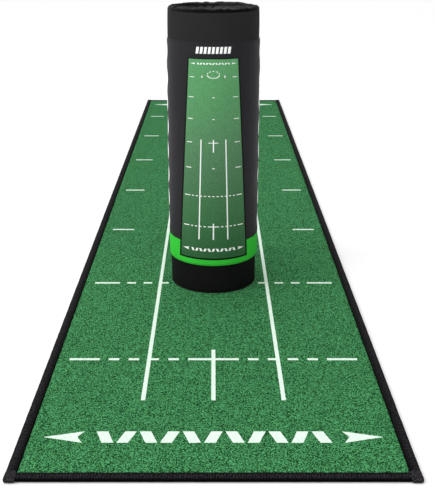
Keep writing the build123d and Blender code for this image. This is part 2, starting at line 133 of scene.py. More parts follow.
def laid_out(
    name: str,
    cells: tuple[int, int],
    place: Place,
    size: tuple[float, float],
    outward: Vector | None = None,
    closed_round: bool = False,
) -> bpy.types.Object:
    """Make a sheet from a grid whose corners follow a rule.

    Args:
        name: The piece's name.
        cells: How many faces it has across and along.
        place: Gives a point's place from its two shares of the sheet, each from 0 to 1.
        size: The sheet's size in metres across and along, which its UV map holds.
        outward: The direction that the first face looks in.
        closed_round: True where the sheet's first and last columns meet.

    Returns:
        The new piece, at the origin.
    """
    deselect_all()
    bpy.ops.mesh.primitive_grid_add(
        x_subdivisions=cells[0], y_subdivisions=cells[1], size=1, location=(0.5, 0.5, 0)
    )
    piece = settle(bpy.context.object)
    piece.name = name
    mesh = piece.data
    uv = mesh.uv_layers.active or mesh.uv_layers.new(name="UVMap")
    for loop in mesh.loops:
        across, along, _ = mesh.vertices[loop.vertex_index].co
        uv.data[loop.index].uv = (across * size[0], along * size[1])
    for vertex in mesh.vertices:
        vertex.co = place(min(max(vertex.co.x, 0), 1), min(max(vertex.co.y, 0), 1))
    mesh.update()
    face_out(piece, outward)
    if closed_round:
        edit(piece, lambda: bpy.ops.mesh.remove_doubles(threshold=0.01 * MM))
    smooth(piece)
    return piece


def smooth(piece: bpy.types.Object, angle: float = 40) -> None:
    """Shade a piece smoothly, apart from edges sharper than an angle in degrees."""
    make_active(piece)
    bpy.ops.object.shade_smooth_by_angle(angle=math.radians(angle))


def finish_with(piece: bpy.types.Object, kind: str, **settings: object) -> None:
    """Add a modifier to a piece and apply it.

    Args:
        piece: The piece.
        kind: The modifier's type.
        settings: Its settings by name.
    """
    make_active(piece)
    modifier = piece.modifiers.new(kind.title(), kind)
    for key, value in settings.items():
        setattr(modifier, key, value)
    bpy.ops.object.modifier_apply(modifier=modifier.name)


def joined(name: str, pieces: list[bpy.types.Object]) -> bpy.types.Object:
    """Join several pieces into one.

    Args:
        name: The joined piece's name.
        pieces: The pieces, of which the first takes in the rest.

    Returns:
        The joined piece.
    """
    make_active(pieces[0])
    for piece in pieces:
        piece.select_set(True)
    bpy.ops.object.join()
    pieces[0].name = name
    return pieces[0]


def repeated(
    name: str, pattern: bpy.types.Object, places: list[tuple[Vector, Vector, Vector]]
) -> bpy.types.Object:
    """Copy a small pattern to many places, as one piece, and remove the pattern.

    Args:
        name: The new piece's name.
        pattern: A small piece at the origin.
        places: For each copy its place, and where its X and Z axes point.

    Returns:
        The piece that holds all the copies.
    """
    copies = []
    for at, along, up in places:
        copy = pattern.copy()
        copy.data = pattern.data.copy()
        turned = Matrix((along, up.cross(along), up)).transposed().to_4x4()
        copy.matrix_world = Matrix.Translation(at) @ turned
        bpy.context.scene.collection.objects.link(copy)
        copies.append(copy)
    bpy.data.objects.remove(pattern)
    piece = settle(joined(name, copies))
    smooth(piece, 60)
    return piece


def strand(
    name: str, middle: Callable[[float], Vector], axis: Vector, radius: float, cells: tuple[int, int]
) -> bpy.types.Object:
    """Make a round strand of cord or wire along a line.

    Args:
        name: The new piece's name.
        middle: Gives a point of the strand's middle line from a share from 0 to 1.
        axis: A direction that the line never follows.
        radius: The strand's radius.
        cells: How many faces it has round it and along it.

    Returns:
        The strand, closed at its ends or on itself.
    """
    step = 0.002

    def place(across: float, along: float) -> Vector:
        """Give a point of the strand's skin."""
        ahead = (middle(along + step) - middle(along - step)).normalized()
        side = ahead.cross(axis).normalized()
        turn = TURN * across
        return middle(along) + radius * (math.cos(turn) * side + math.sin(turn) * ahead.cross(side))

    piece = laid_out(name, cells, place, (TURN * radius, 1.0), None, closed_round=True)
    edit(piece, lambda: bpy.ops.mesh.fill_holes(sides=cells[0]))
    face_out(piece, None)
    smooth(piece, 60)
    return piece


def stitch_pattern(length: float, thickness: float) -> bpy.types.Object:
    """Model one stitch: a short thread that dips into the cloth at both ends.

    Args:
        length: The stitch's length, along X.
        thickness: The thread's thickness.

    Returns:
        The stitch, at the origin.
    """
    deselect_all()
    bpy.ops.mesh.primitive_uv_sphere_add(segments=6, ring_count=5, radius=0.5)
    stitch = bpy.context.object
    stitch.rotation_euler = (0, math.pi / 2, 0)
    settle(stitch)
    for vertex in stitch.data.vertices:
        along = vertex.co.x * 2
        vertex.co.x *= length
        vertex.co.y *= thickness
        vertex.co.z = vertex.co.z * thickness - 0.35 * thickness * along * along
    return stitch


def wander(point: Vector, scale: float, amount: float) -> float:
    """Give a smooth irregular value that changes over space.

    Args:
        point: Where the value is read.
        scale: How many changes there are in a metre.
        amount: The largest value.

    Returns:
        A value between minus amount and amount.
    """
    return amount * noise.noise(point * scale)


# ------------------------------------------------------------------ materials
def linear(code: str) -> tuple[float, float, float, float]:
    """Turn a colour written as six hexadecimal digits into linear light.

    Args:
        code: The colour, such as "3b7e49".

    Returns:
        Red, green, blue and alpha.
    """
    parts = [int(code[i : i + 2], 16) / 255 for i in (0, 2, 4)]
    light = [p / 12.92 if p <= 0.04045 else ((p + 0.055) / 1.055) ** 2.4 for p in parts]
    return (*light, 1.0)


class Tree:
    """A node tree in the making, for a material or a group."""

    def __init__(self, tree: bpy.types.NodeTree) -> None:
        """Hold the tree that nodes are added to."""
        self.tree = tree

    def add(self, kind: str, **settings: object) -> bpy.types.Node:
        """Add a node.

        Args:
            kind: The node's type, without the word ShaderNode.
            settings: Its properties by name.

        Returns:
            The new node.
        """
        node = self.tree.nodes.new(f"ShaderNode{kind}")
        for key, value in settings.items():
            setattr(node, key, value)
        return node

    def feed(self, socket: bpy.types.NodeSocket, value: object) -> None:
        """Link an output to an input, or set the input to a plain value."""
        if isinstance(value, bpy.types.NodeSocket):
            self.tree.links.new(value, socket)
        else:
            socket.default_value = value

    def maths(self, operation: str, *values: object) -> bpy.types.NodeSocket:
        """Add a Math node and return its output.

        Args:
            operation: The operation's name.
            values: Its inputs, as sockets or numbers.

        Returns:
            The node's output.
        """
        node = self.add("Math", operation=operation)
        for socket, value in zip(node.inputs, values):
            self.feed(socket, value)
        return node.outputs[0]

    def mixed(self, share: object, first: object, second: object) -> bpy.types.NodeSocket:
        """Mix two colours by a share and return the result."""
        node = self.add("Mix", data_type="RGBA")
        self.feed(node.inputs["Factor"], share)
        self.feed(node.inputs[6], first)
        self.feed(node.inputs[7], second)
        return node.outputs[2]

    def texture(
        self, kind: str, vector: bpy.types.NodeSocket, scale: object, **settings: object
    ) -> bpy.types.Node:
        """Add a texture node that reads a vector at a scale.

        Args:
            kind: The texture's type, without the words ShaderNodeTex.
            vector: The coordinates it reads.
            scale: Its scale, as a number or a socket.
            settings: Its properties by name.

        Returns:
            The texture node.
        """
        node = self.add(f"Tex{kind}", **settings)
        self.feed(node.inputs["Vector"], vector)
        self.feed(node.inputs["Scale"], scale)
        return node


def group(
    name: str, inputs: dict[str, str], outputs: dict[str, str]
) -> tuple[Tree, bpy.types.Node, bpy.types.Node]:
    """Start a shader node group.

    Args:
        name: The group's name.
        inputs: Each input's name and kind, Float or Vector.
        outputs: Each output's name and kind.

    Returns:
        The tree, its input node and its output node.
    """
    tree = bpy.data.node_groups.new(name, "ShaderNodeTree")
    for in_out, sockets in (("INPUT", inputs), ("OUTPUT", outputs)):
        for socket, kind in sockets.items():
            tree.interface.new_socket(name=socket, in_out=in_out, socket_type=f"NodeSocket{kind}")
    made = Tree(tree)
    return made, tree.nodes.new("NodeGroupInput"), tree.nodes.new("NodeGroupOutput")


class Effects:
    """The node groups that several finishes share."""

    def __init__(self) -> None:
        """Build each group once."""
        self.pile = self._pile()
        self.weave = self._weave()
        self.wear = self._wear()

    @staticmethod
    def _pile() -> bpy.types.NodeTree:
        """Tufts of yarn: a fleck for each tuft's tone, broad patches, and the tufts' height."""
        tree, start, end = group(
            "pile_tufts",
            {"Vector": "Vector", "Tufts per metre": "Float"},
            {"Fleck": "Float", "Patch": "Float", "Height": "Float"},
        )
        vector, density = start.outputs[0], start.outputs[1]
        tuft = tree.texture("Voronoi", vector, density, feature="F1", voronoi_dimensions="2D")
        tone = tree.add("SeparateColor")
        tree.feed(tone.inputs[0], tuft.outputs["Color"])
        fine = tree.texture("Noise", vector, tree.maths("MULTIPLY", density, 1.7))
        tuft_share = tree.maths("MULTIPLY", tone.outputs[0], 0.6)
        fleck = tree.maths("ADD", tuft_share, tree.maths("MULTIPLY", fine.outputs[0], 0.4))
        tree.feed(end.inputs["Fleck"], fleck)
        clump = tree.texture("Noise", vector, tree.maths("MULTIPLY", density, 0.4))
        clump.inputs["Detail"].default_value = 1
        broad = tree.texture("Noise", vector, 7.0)
        clump_share = tree.maths("MULTIPLY", clump.outputs[0], 0.7)
        patch = tree.maths("ADD", clump_share, tree.maths("MULTIPLY", broad.outputs[0], 0.3))
        tree.feed(end.inputs["Patch"], patch)
        crown = tree.maths("SUBTRACT", 1.0, tree.maths("MULTIPLY", tuft.outputs["Distance"], 1.3))
        ends = tree.maths("MULTIPLY", fine.outputs[0], 0.5)
        tree.feed(end.inputs["Height"], tree.maths("ADD", crown, ends))
        return tree.tree

    @staticmethod
    def _weave() -> bpy.types.NodeTree:
        """A plain weave: threads that pass over and under each other, with uneven tone."""
        tree, start, end = group(
            "plain_weave",
            {"Vector": "Vector", "Threads per metre": "Float"},
            {"Tone": "Float", "Height": "Float"},
        )
        vector, density = start.outputs[0], start.outputs[1]
        split = tree.add("SeparateXYZ")
        tree.feed(split.inputs[0], vector)
        waves = []
        for axis in (0, 1):
            angle = tree.maths("MULTIPLY", tree.maths("MULTIPLY", split.outputs[axis], density), math.pi)
            waves.append(tree.maths("ABSOLUTE", tree.maths("SINE", angle)))
        over = tree.texture("Checker", vector, density)
        warp = tree.maths("MULTIPLY", waves[0], over.outputs["Fac"])
        weft = tree.maths("MULTIPLY", waves[1], tree.maths("SUBTRACT", 1.0, over.outputs["Fac"]))
        height = tree.maths("ADD", warp, weft)
        slub = tree.texture("Noise", vector, tree.maths("MULTIPLY", density, 0.3))
        tree.feed(end.inputs["Height"], height)
        tree.feed(end.inputs["Tone"], tree.maths("MULTIPLY", tree.maths("ADD", height, slub.outputs[0]), 0.5))
        return tree.tree

    @staticmethod
    def _wear() -> bpy.types.NodeTree:
        """Slow changes of tone over a piece, as dust and handling leave."""
        tree, start, end = group("handled_tone", {"Vector": "Vector", "Scale": "Float"}, {"Tone": "Float"})
        broad = tree.texture("Noise", start.outputs[0], start.outputs[1])
        broad.inputs["Detail"].default_value = 5
        broad.inputs["Roughness"].default_value = 0.6
        tree.feed(end.inputs["Tone"], broad.outputs[0])
        return tree.tree


class Follows(Enum):
    """Which coordinates a finish's pattern follows."""

    OBJECT = "Object"
    SURFACE = "UV"


@dataclass(frozen=True)
class Finish:
    """What every finish has: a name, its two tones and its gloss."""

    name: str
    dark: str
    light: str
    roughness: float = 0.8
    gloss: float = 0.1
    follows: Follows = Follows.OBJECT

    def start(self) -> tuple[Tree, bpy.types.Node, bpy.types.NodeSocket]:
        """Make the material with its constant values.

        Returns:
            The tree, the Principled shader and the coordinates that the pattern follows.
        """
        material = bpy.data.materials.new(self.name)
        material.use_nodes = True
        tree = Tree(material.node_tree)
        shader = material.node_tree.nodes["Principled BSDF"]
        shader.inputs["Roughness"].default_value = self.roughness
        shader.inputs["Specular IOR Level"].default_value = self.gloss
        coordinates = tree.add("TexCoord")
        return tree, shader, coordinates.outputs[self.follows.value]

    @staticmethod
    def use(
        tree: Tree, effect: bpy.types.NodeTree, vector: bpy.types.NodeSocket, amount: float
    ) -> bpy.types.Node:
        """Place a shared effect in the material.

        Args:
            tree: The material's tree.
            effect: The node group.
            vector: The coordinates it reads.
            amount: Its second input, a scale or a density.

        Returns:
            The group node.
        """
        node = tree.add("Group")
        node.node_tree = effect
        tree.feed(node.inputs[0], vector)
        tree.feed(node.inputs[1], amount)
        return node

    @staticmethod
    def raise_surface(tree: Tree, shader: bpy.types.Node, height: bpy.types.NodeSocket, depth: float) -> None:
        """Raise the surface by a height, as deep as a distance in metres."""
        bump = tree.add("Bump")
        tree.feed(bump.inputs["Height"], height)
        tree.feed(bump.inputs["Distance"], depth)
        tree.feed(shader.inputs["Normal"], bump.outputs[0])


@dataclass(frozen=True)
class Pile(Finish):
    """Short cut pile, speckled tuft by tuft."""

    tufts: float = 900.0
    contrast: float = 1.75
    bias: float = 0.05
    patchiness: float = 0.3

    def material(self, effects: Effects) -> bpy.types.Material:
        """Make the pile's material.

        Args:
            effects: The shared node groups.

        Returns:
            The material.
        """
        tree, shader, vector = self.start()
        pile = self.use(tree, effects.pile, vector, self.tufts)
        spread = tree.add("MapRange")
        tree.feed(spread.inputs["Value"], pile.outputs["Fleck"])
        tree.feed(spread.inputs["From Min"], 0.5 + self.bias - 0.3 / self.contrast)
        tree.feed(spread.inputs["From Max"], 0.5 + self.bias + 0.3 / self.contrast)
        fleck = tree.mixed(spread.outputs[0], linear(self.dark), linear(self.light))
        patchy = tree.add("HueSaturation")
        tree.feed(patchy.inputs["Color"], fleck)
        patch = tree.maths("MULTIPLY", pile.outputs["Patch"], self.patchiness)
        tree.feed(patchy.inputs["Value"], tree.maths("ADD", 1 - self.patchiness / 2, patch))
        tree.feed(shader.inputs["Base Color"], patchy.outputs[0])
        self.raise_surface(tree, shader, pile.outputs["Height"], 0.5 * MM)
        return bpy.data.materials[self.name]


@dataclass(frozen=True)
class Woven(Finish):
    """Woven or printed cloth with visible threads."""

    threads: float = 1400.0
    depth: float = 0.12 * MM

    def material(self, effects: Effects) -> bpy.types.Material:
        """Make the cloth's material.

        Args:
            effects: The shared node groups.

        Returns:
            The material.
        """
        tree, shader, vector = self.start()
        weave = self.use(tree, effects.weave, vector, self.threads)
        wear = self.use(tree, effects.wear, vector, 14.0)
        threads = tree.maths("MULTIPLY", weave.outputs["Tone"], 0.65)
        tone = tree.maths("ADD", threads, tree.maths("MULTIPLY", wear.outputs[0], 0.5))
        tree.feed(shader.inputs["Base Color"], tree.mixed(tone, linear(self.dark), linear(self.light)))
        rough = tree.maths("ADD", self.roughness - 0.08, tree.maths("MULTIPLY", wear.outputs[0], 0.16))
        tree.feed(shader.inputs["Roughness"], rough)
        self.raise_surface(tree, shader, weave.outputs["Height"], self.depth)
        return bpy.data.materials[self.name]


@dataclass(frozen=True)
class Overlock(Finish):
    """Thread wound closely across an edge, with a painted highlight on its crown and painted shade at both
    sides.
    """

    pitch: float = 3.4 * MM
    # crown: where across the surface the painted highlight is brightest; reach: how far out from there the
    # tone runs down into painted shade.
    crown: float = 0.0
    reach: float = 1.0
    depth: float = 0.9 * MM

    def material(self, effects: Effects) -> bpy.types.Material:
        """Make the wound thread's material.

        Args:
            effects: The shared node groups.

        Returns:
            The material.
        """
        tree, shader, vector = self.start()
        scale = 1 / self.pitch / 20 * TURN
        wraps = tree.texture("Wave", vector, scale, bands_direction="Y", wave_profile="SIN")
        wraps.inputs["Distortion"].default_value = 6.0
        wraps.inputs["Detail"].default_value = 3.0
        wraps.inputs["Detail Scale"].default_value = 3.0
        fuzz = tree.texture("Noise", vector, 520.0)
        fuzz.inputs["Detail"].default_value = 4
        height = tree.maths("ADD", tree.maths("MULTIPLY", wraps.outputs["Fac"], 0.18), fuzz.outputs[0])
        # Painted highlight and shade: the thread's tone is multiplied down with distance from the crown,
        # standing in for light on the crown and shade at the sides.
        split = tree.add("SeparateXYZ")
        tree.feed(split.inputs[0], vector)
        away = tree.maths("ABSOLUTE", tree.maths("SUBTRACT", split.outputs[0], self.crown))
        fade = tree.add("MapRange", interpolation_type="SMOOTHSTEP")
        tree.feed(fade.inputs["Value"], away)
        tree.feed(fade.inputs["From Max"], self.reach)
        tree.feed(fade.inputs["To Min"], 1.0)
        tree.feed(fade.inputs["To Max"], 0.0)
        spread = tree.add("MapRange")
        tree.feed(spread.inputs["Value"], height)
        tree.feed(spread.inputs["From Min"], 0.48)
        tree.feed(spread.inputs["From Max"], 0.76)
        tone = tree.maths("MULTIPLY", spread.outputs[0], fade.outputs[0])
        tree.feed(shader.inputs["Base Color"], tree.mixed(tone, linear(self.dark), linear(self.light)))
        self.raise_surface(tree, shader, height, self.depth)
        return bpy.data.materials[self.name]


@dataclass(frozen=True)
class Moulded(Finish):
    """Moulded plastic, rubber, board or drawn wire, with a fine grain."""

    grain: float = 900.0
    depth: float = 0.04 * MM
    metal: float = 0.0

    def material(self, effects: Effects) -> bpy.types.Material:
        """Make the material.

        Args:
            effects: The shared node groups.

        Returns:
            The material.
        """
        tree, shader, vector = self.start()
        shader.inputs["Metallic"].default_value = self.metal
        wear = self.use(tree, effects.wear, vector, 30.0)
        grain = tree.texture("Noise", vector, self.grain)
        colour = tree.mixed(wear.outputs[0], linear(self.dark), linear(self.light))
        tree.feed(shader.inputs["Base Color"], colour)
        rough = tree.maths("ADD", self.roughness - 0.06, tree.maths("MULTIPLY", grain.outputs[0], 0.12))
        tree.feed(shader.inputs["Roughness"], rough)
        self.raise_surface(tree, shader, grain.outputs[0], self.depth)
        return bpy.data.materials[self.name]


@dataclass(frozen=True)
class Picture(Finish):
    """The printed picture of the turf, which darkens towards its near end."""

    low: float = 0.0
    high: float = 1.0

    def material(self, effects: Effects) -> bpy.types.Material:
        """Make the picture's material.

        Args:
            effects: The shared node groups.

        Returns:
            The material.
        """
        tree, shader, vector = self.start()
        height = tree.add("SeparateXYZ")
        tree.feed(height.inputs[0], vector)
        fade = tree.add("MapRange")
        tree.feed(fade.inputs["Value"], height.outputs["Z"])
        tree.feed(fade.inputs["From Min"], self.low)
        tree.feed(fade.inputs["From Max"], self.high)
        pile = self.use(tree, effects.pile, vector, 1500.0)
        grains = tree.texture("Noise", vector, 420.0)
        grains.inputs["Detail"].default_value = 3
        away = tree.maths("ABSOLUTE", tree.maths("SUBTRACT", height.outputs["Z"], (self.low + self.high) / 2))
        dull = tree.add("MapRange", interpolation_type="SMOOTHSTEP")
        tree.feed(dull.inputs["Value"], away)
        tree.feed(dull.inputs["From Max"], (self.high - self.low) / 3)
        tree.feed(dull.inputs["To Min"], 1.0)
        tree.feed(dull.inputs["To Max"], 0.0)
        base = tree.mixed(fade.outputs[0], linear(self.dark), linear(self.light))
        speckled = tree.add("HueSaturation")
        tree.feed(speckled.inputs["Color"], base)
        patch = tree.maths("MULTIPLY", pile.outputs["Patch"], 0.3)
        speck = tree.maths("MULTIPLY", grains.outputs[0], 0.66)
        value = tree.maths("ADD", tree.maths("ADD", 0.38, patch), speck)
        dimmer = tree.maths("MULTIPLY", dull.outputs[0], 0.08)
        tree.feed(speckled.inputs["Value"], tree.maths("SUBTRACT", value, dimmer))
        faded = tree.maths("SUBTRACT", 0.94, tree.maths("MULTIPLY", dull.outputs[0], 0.11))
        tree.feed(speckled.inputs["Saturation"], faded)
        tree.feed(shader.inputs["Base Color"], speckled.outputs[0])
        self.raise_surface(tree, shader, grains.outputs[0], 0.02 * MM)
        return bpy.data.materials[self.name]


class Wardrobe:
    """Makes each finish's material once and puts it on pieces."""

    def __init__(self) -> None:
        """Build the shared effects."""
        self.effects = Effects()
        self.made: dict[str, bpy.types.Material] = {}

    def dress(self, piece: bpy.types.Object, finish: Finish) -> None:
        """Put a finish on all of a piece.

        Args:
            piece: The piece.
            finish: The finish.
        """
        if finish.name not in self.made:
            self.made[finish.name] = finish.material(self.effects)
        piece.data.materials.clear()
        piece.data.materials.append(self.made[finish.name])

    def attach(
        self,
        piece: bpy.types.Object,
        finish: Finish,
        body: str,
        slot: str,
        stands_for: tuple[str, ...] = (),
    ) -> bpy.types.Object:
        """Dress a new piece, fix it to its body and hide the CAD nodes that it stands for.

        Args:
            piece: The piece.
            finish: Its finish.
            body: The body that it rides on.
            slot: The record's material slot; not used.
            stands_for: The CAD nodes that it replaces.

        Returns:
            The same piece.
        """
        self.dress(piece, finish)
        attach(piece, body)
        if stands_for:
            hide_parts(*stands_for)
        LOG.info("%s: %d faces", piece.name, len(piece.data.polygons))
        return piece


SURFACE = Follows.SURFACE
GREEN_PILE = Pile("green_pile", "103a1a", "57a96c", 0.95, 0.05, bias=0.075, patchiness=0.2)
WHITE_PILE = Pile("white_pile", "c8e3d0", "f2fff5", 0.95, 0.05, contrast=0.8, bias=0.0, patchiness=0.08)
# Painted highlight on the tape's crown, 10 mm in from its inner edge, fading to painted shade at both sides.
OVERLOCK = Overlock("binding_thread", "010101", "323034", 0.8, 0.04, SURFACE, crown=10.0 * MM, reach=7.0 * MM)
CORNER = Overlock("corner_thread", "030303", "454247", 0.8, 0.04, SURFACE, reach=2.0)
THREAD = Woven("black_thread", "060607", "1c1c1f", 0.8, threads=2500.0, depth=0.05 * MM)
SLEEVE = Woven("sleeve_cloth", "19181b", "2b2a2e", 0.45, 0.055, SURFACE)
CUFF = Woven("cuff_cloth", "1c1c1d", "2d2d2e", 0.6, 0.02, SURFACE, threads=1800.0)
# The cuff's own cloth, painted near black and far darker than CUFF: painted shade over the gathered top's
# folds and the hem.
SHADED_GATHER = Woven("gathered_cloth_painted_shade", "010101", "060607", 0.42, 0.04, SURFACE, threads=1800.0)
BASE = Woven("base_cloth", "0d0e0e", "191919", 0.7, 0.03, SURFACE)
LIME = Woven("lime_cloth", "25a829", "3fd043", 0.65, 0.05, SURFACE)
SEAM_TAPE = Woven("seam_tape", "0b0b0c", "1c1c1e", 0.75, follows=SURFACE, threads=1000.0)
LINING = Woven("lining_cloth", "121213", "202022", 0.7)
BRAID = Woven("cord_braid", "0a0a0b", "1e1e20", 0.6, threads=1600.0, depth=0.2 * MM)
BACKING = Woven("backing_weave", "35372f", "5c5e52", 0.9, threads=300.0, depth=0.3 * MM)
PRINT = Woven("white_print", "e6ebe6", "ffffff", 0.5, follows=SURFACE)
PRINT_EDGE = Woven("print_edge", "020302", "080a08", 0.6, follows=SURFACE)
RUBBER = Moulded("underlay_rubber", "161618", "262629", 0.85, grain=600.0, depth=0.3 * MM)
FOAM = Moulded("foam", "3a3a3e", "505056", 0.95, grain=1200.0, depth=0.15 * MM)
BOARD = Moulded("stiffener_board", "2c2c2e", "3e3e42", 0.7)
PLASTIC = Moulded("lock_plastic", "0a0a0b", "161618", 0.42, 0.4, grain=1500.0, depth=0.02 * MM)
WIRE = Moulded("spring_wire", "8d9094", "c3c6ca", 0.3, 0.5, grain=2500.0, depth=0.01 * MM, metal=1.0)


# ------------------------------------------------------------------ studio
@dataclass
class Studio:
    """A white sweep, soft boxes and the camera."""

    stand_off: float = 0.8623
    eye_height: float = 0.6209
    pitch: float = 20.445
    lens: float = 62.22
    shift: float = 0.00825
    floor_size: float = 60.0
    zenith: float = 1.3
    horizon: float = 0.25
    side_bias: float = 0.8
    flags: float = 0.9

    def camera(self, near_end: float) -> None:
        """Place the camera in front of the mat's near end.

        Args:
            near_end: The Y of the mat's near end.
        """
        data = bpy.data.cameras.new("camera")
        data.lens = self.lens
        data.shift_x = self.shift
        camera = bpy.data.objects.new("camera", data)
        camera.location = (0, near_end - self.stand_off, self.eye_height)
        camera.rotation_euler = (math.radians(90 - self.pitch), 0, 0)
        bpy.context.scene.collection.objects.link(camera)
        bpy.context.scene.camera = camera

    def floor(self) -> None:
        """Lay a plain pale floor."""
        deselect_all()
        bpy.ops.mesh.primitive_plane_add(size=self.floor_size, location=(0, 0, 0))
        floor = settle(bpy.context.object)
        floor.name = "floor"
        material = bpy.data.materials.new("studio_floor")
        material.use_nodes = True
        shader = material.node_tree.nodes["Principled BSDF"]
        shader.inputs["Base Color"].default_value = (0.9, 0.9, 0.9, 1)
        shader.inputs["Roughness"].default_value = 0.9
        shader.inputs["Specular IOR Level"].default_value = 0.1
        floor.data.materials.append(material)

    def soft_box(self, name: str, at: Vector, aim: Vector, size: float, power: float) -> None:
        """Hang one square soft light.

        Args:
            name: The light's name.
            at: Where it hangs.
            aim: What it points at.
            size: The length of its side.
            power: Its power in watts.
        """
        data = bpy.data.lights.new(name, "AREA")
        data.size = size
        data.energy = power
        light = bpy.data.objects.new(name, data)
        light.location = at
        light.rotation_euler = (aim - at).to_track_quat("-Z", "Y").to_euler()
        bpy.context.scene.collection.objects.link(light)

    def lights(self) -> None:
        """Hang the soft boxes and set an even white surround."""
        scene = bpy.context.scene
        scene.view_settings.view_transform = "Standard"
        world = bpy.data.worlds.new("surround")
        world.use_nodes = True
        tree = Tree(world.node_tree)
        background = world.node_tree.nodes["Background"]
        background.inputs["Color"].default_value = (1, 1, 1, 1)
        split = tree.add("SeparateXYZ")
        tree.feed(split.inputs[0], tree.add("TexCoord").outputs["Generated"])
        rise = tree.add("MapRange")
        tree.feed(rise.inputs["Value"], split.outputs["Z"])
        tree.feed(rise.inputs["From Max"], 0.5)
        tree.feed(rise.inputs["To Min"], self.horizon)
        tree.feed(rise.inputs["To Max"], self.zenith)
        bias = tree.maths("SUBTRACT", 1.0, tree.maths("MULTIPLY", split.outputs["X"], self.side_bias))
        sideways = tree.maths("ABSOLUTE", split.outputs["X"])
        far_out = tree.maths("MULTIPLY", tree.maths("POWER", sideways, 4.0), self.flags)
        bias = tree.maths("MAXIMUM", tree.maths("SUBTRACT", bias, far_out), 0.0)
        lit = tree.maths("MULTIPLY", rise.outputs[0], bias)
        seen = tree.add("LightPath").outputs["Is Camera Ray"]
        hidden = tree.maths("MULTIPLY", lit, tree.maths("SUBTRACT", 1.0, seen))
        tree.feed(background.inputs["Strength"], tree.maths("ADD", hidden, seen))
        scene.world = world
        middle = Vector((0, -0.5, 0.2))
        self.soft_box("key", Vector((-2.6, -1.8, 2.0)), middle, 1.6, 34)
        self.soft_box("streak", Vector((1.3, -2.4, 1.2)), Vector((0, -0.57, 0.3)), 0.4, 9)

    def build(self, near_end: float) -> None:
        """Set up the whole studio."""
        self.camera(near_end)
        self.floor()
        self.lights()


# ------------------------------------------------------------------ markings
@dataclass(frozen=True)
class Patch:
    """A four-cornered mark on the mat: corners as distances across and up from the near end."""

    corners: tuple[tuple[float, float], ...]

    def at(self, across: float, along: float) -> tuple[float, float]:
        """Give the place of a point inside the mark from its two shares."""
        (ax, ay), (bx, by), (cx, cy), (dx, dy) = self.corners
        low = (ax + (bx - ax) * across, ay + (by - ay) * across)
        high = (dx + (cx - dx) * across, dy + (cy - dy) * across)
        return low[0] + (high[0] - low[0]) * along, low[1] + (high[1] - low[1]) * along

    def size(self) -> tuple[float, float]:
        """Give the mark's largest width and largest length."""
        a, b, c, d = (Vector(corner) for corner in self.corners)
        return max((b - a).length, (c - d).length), max((d - a).length, (c - b).length)


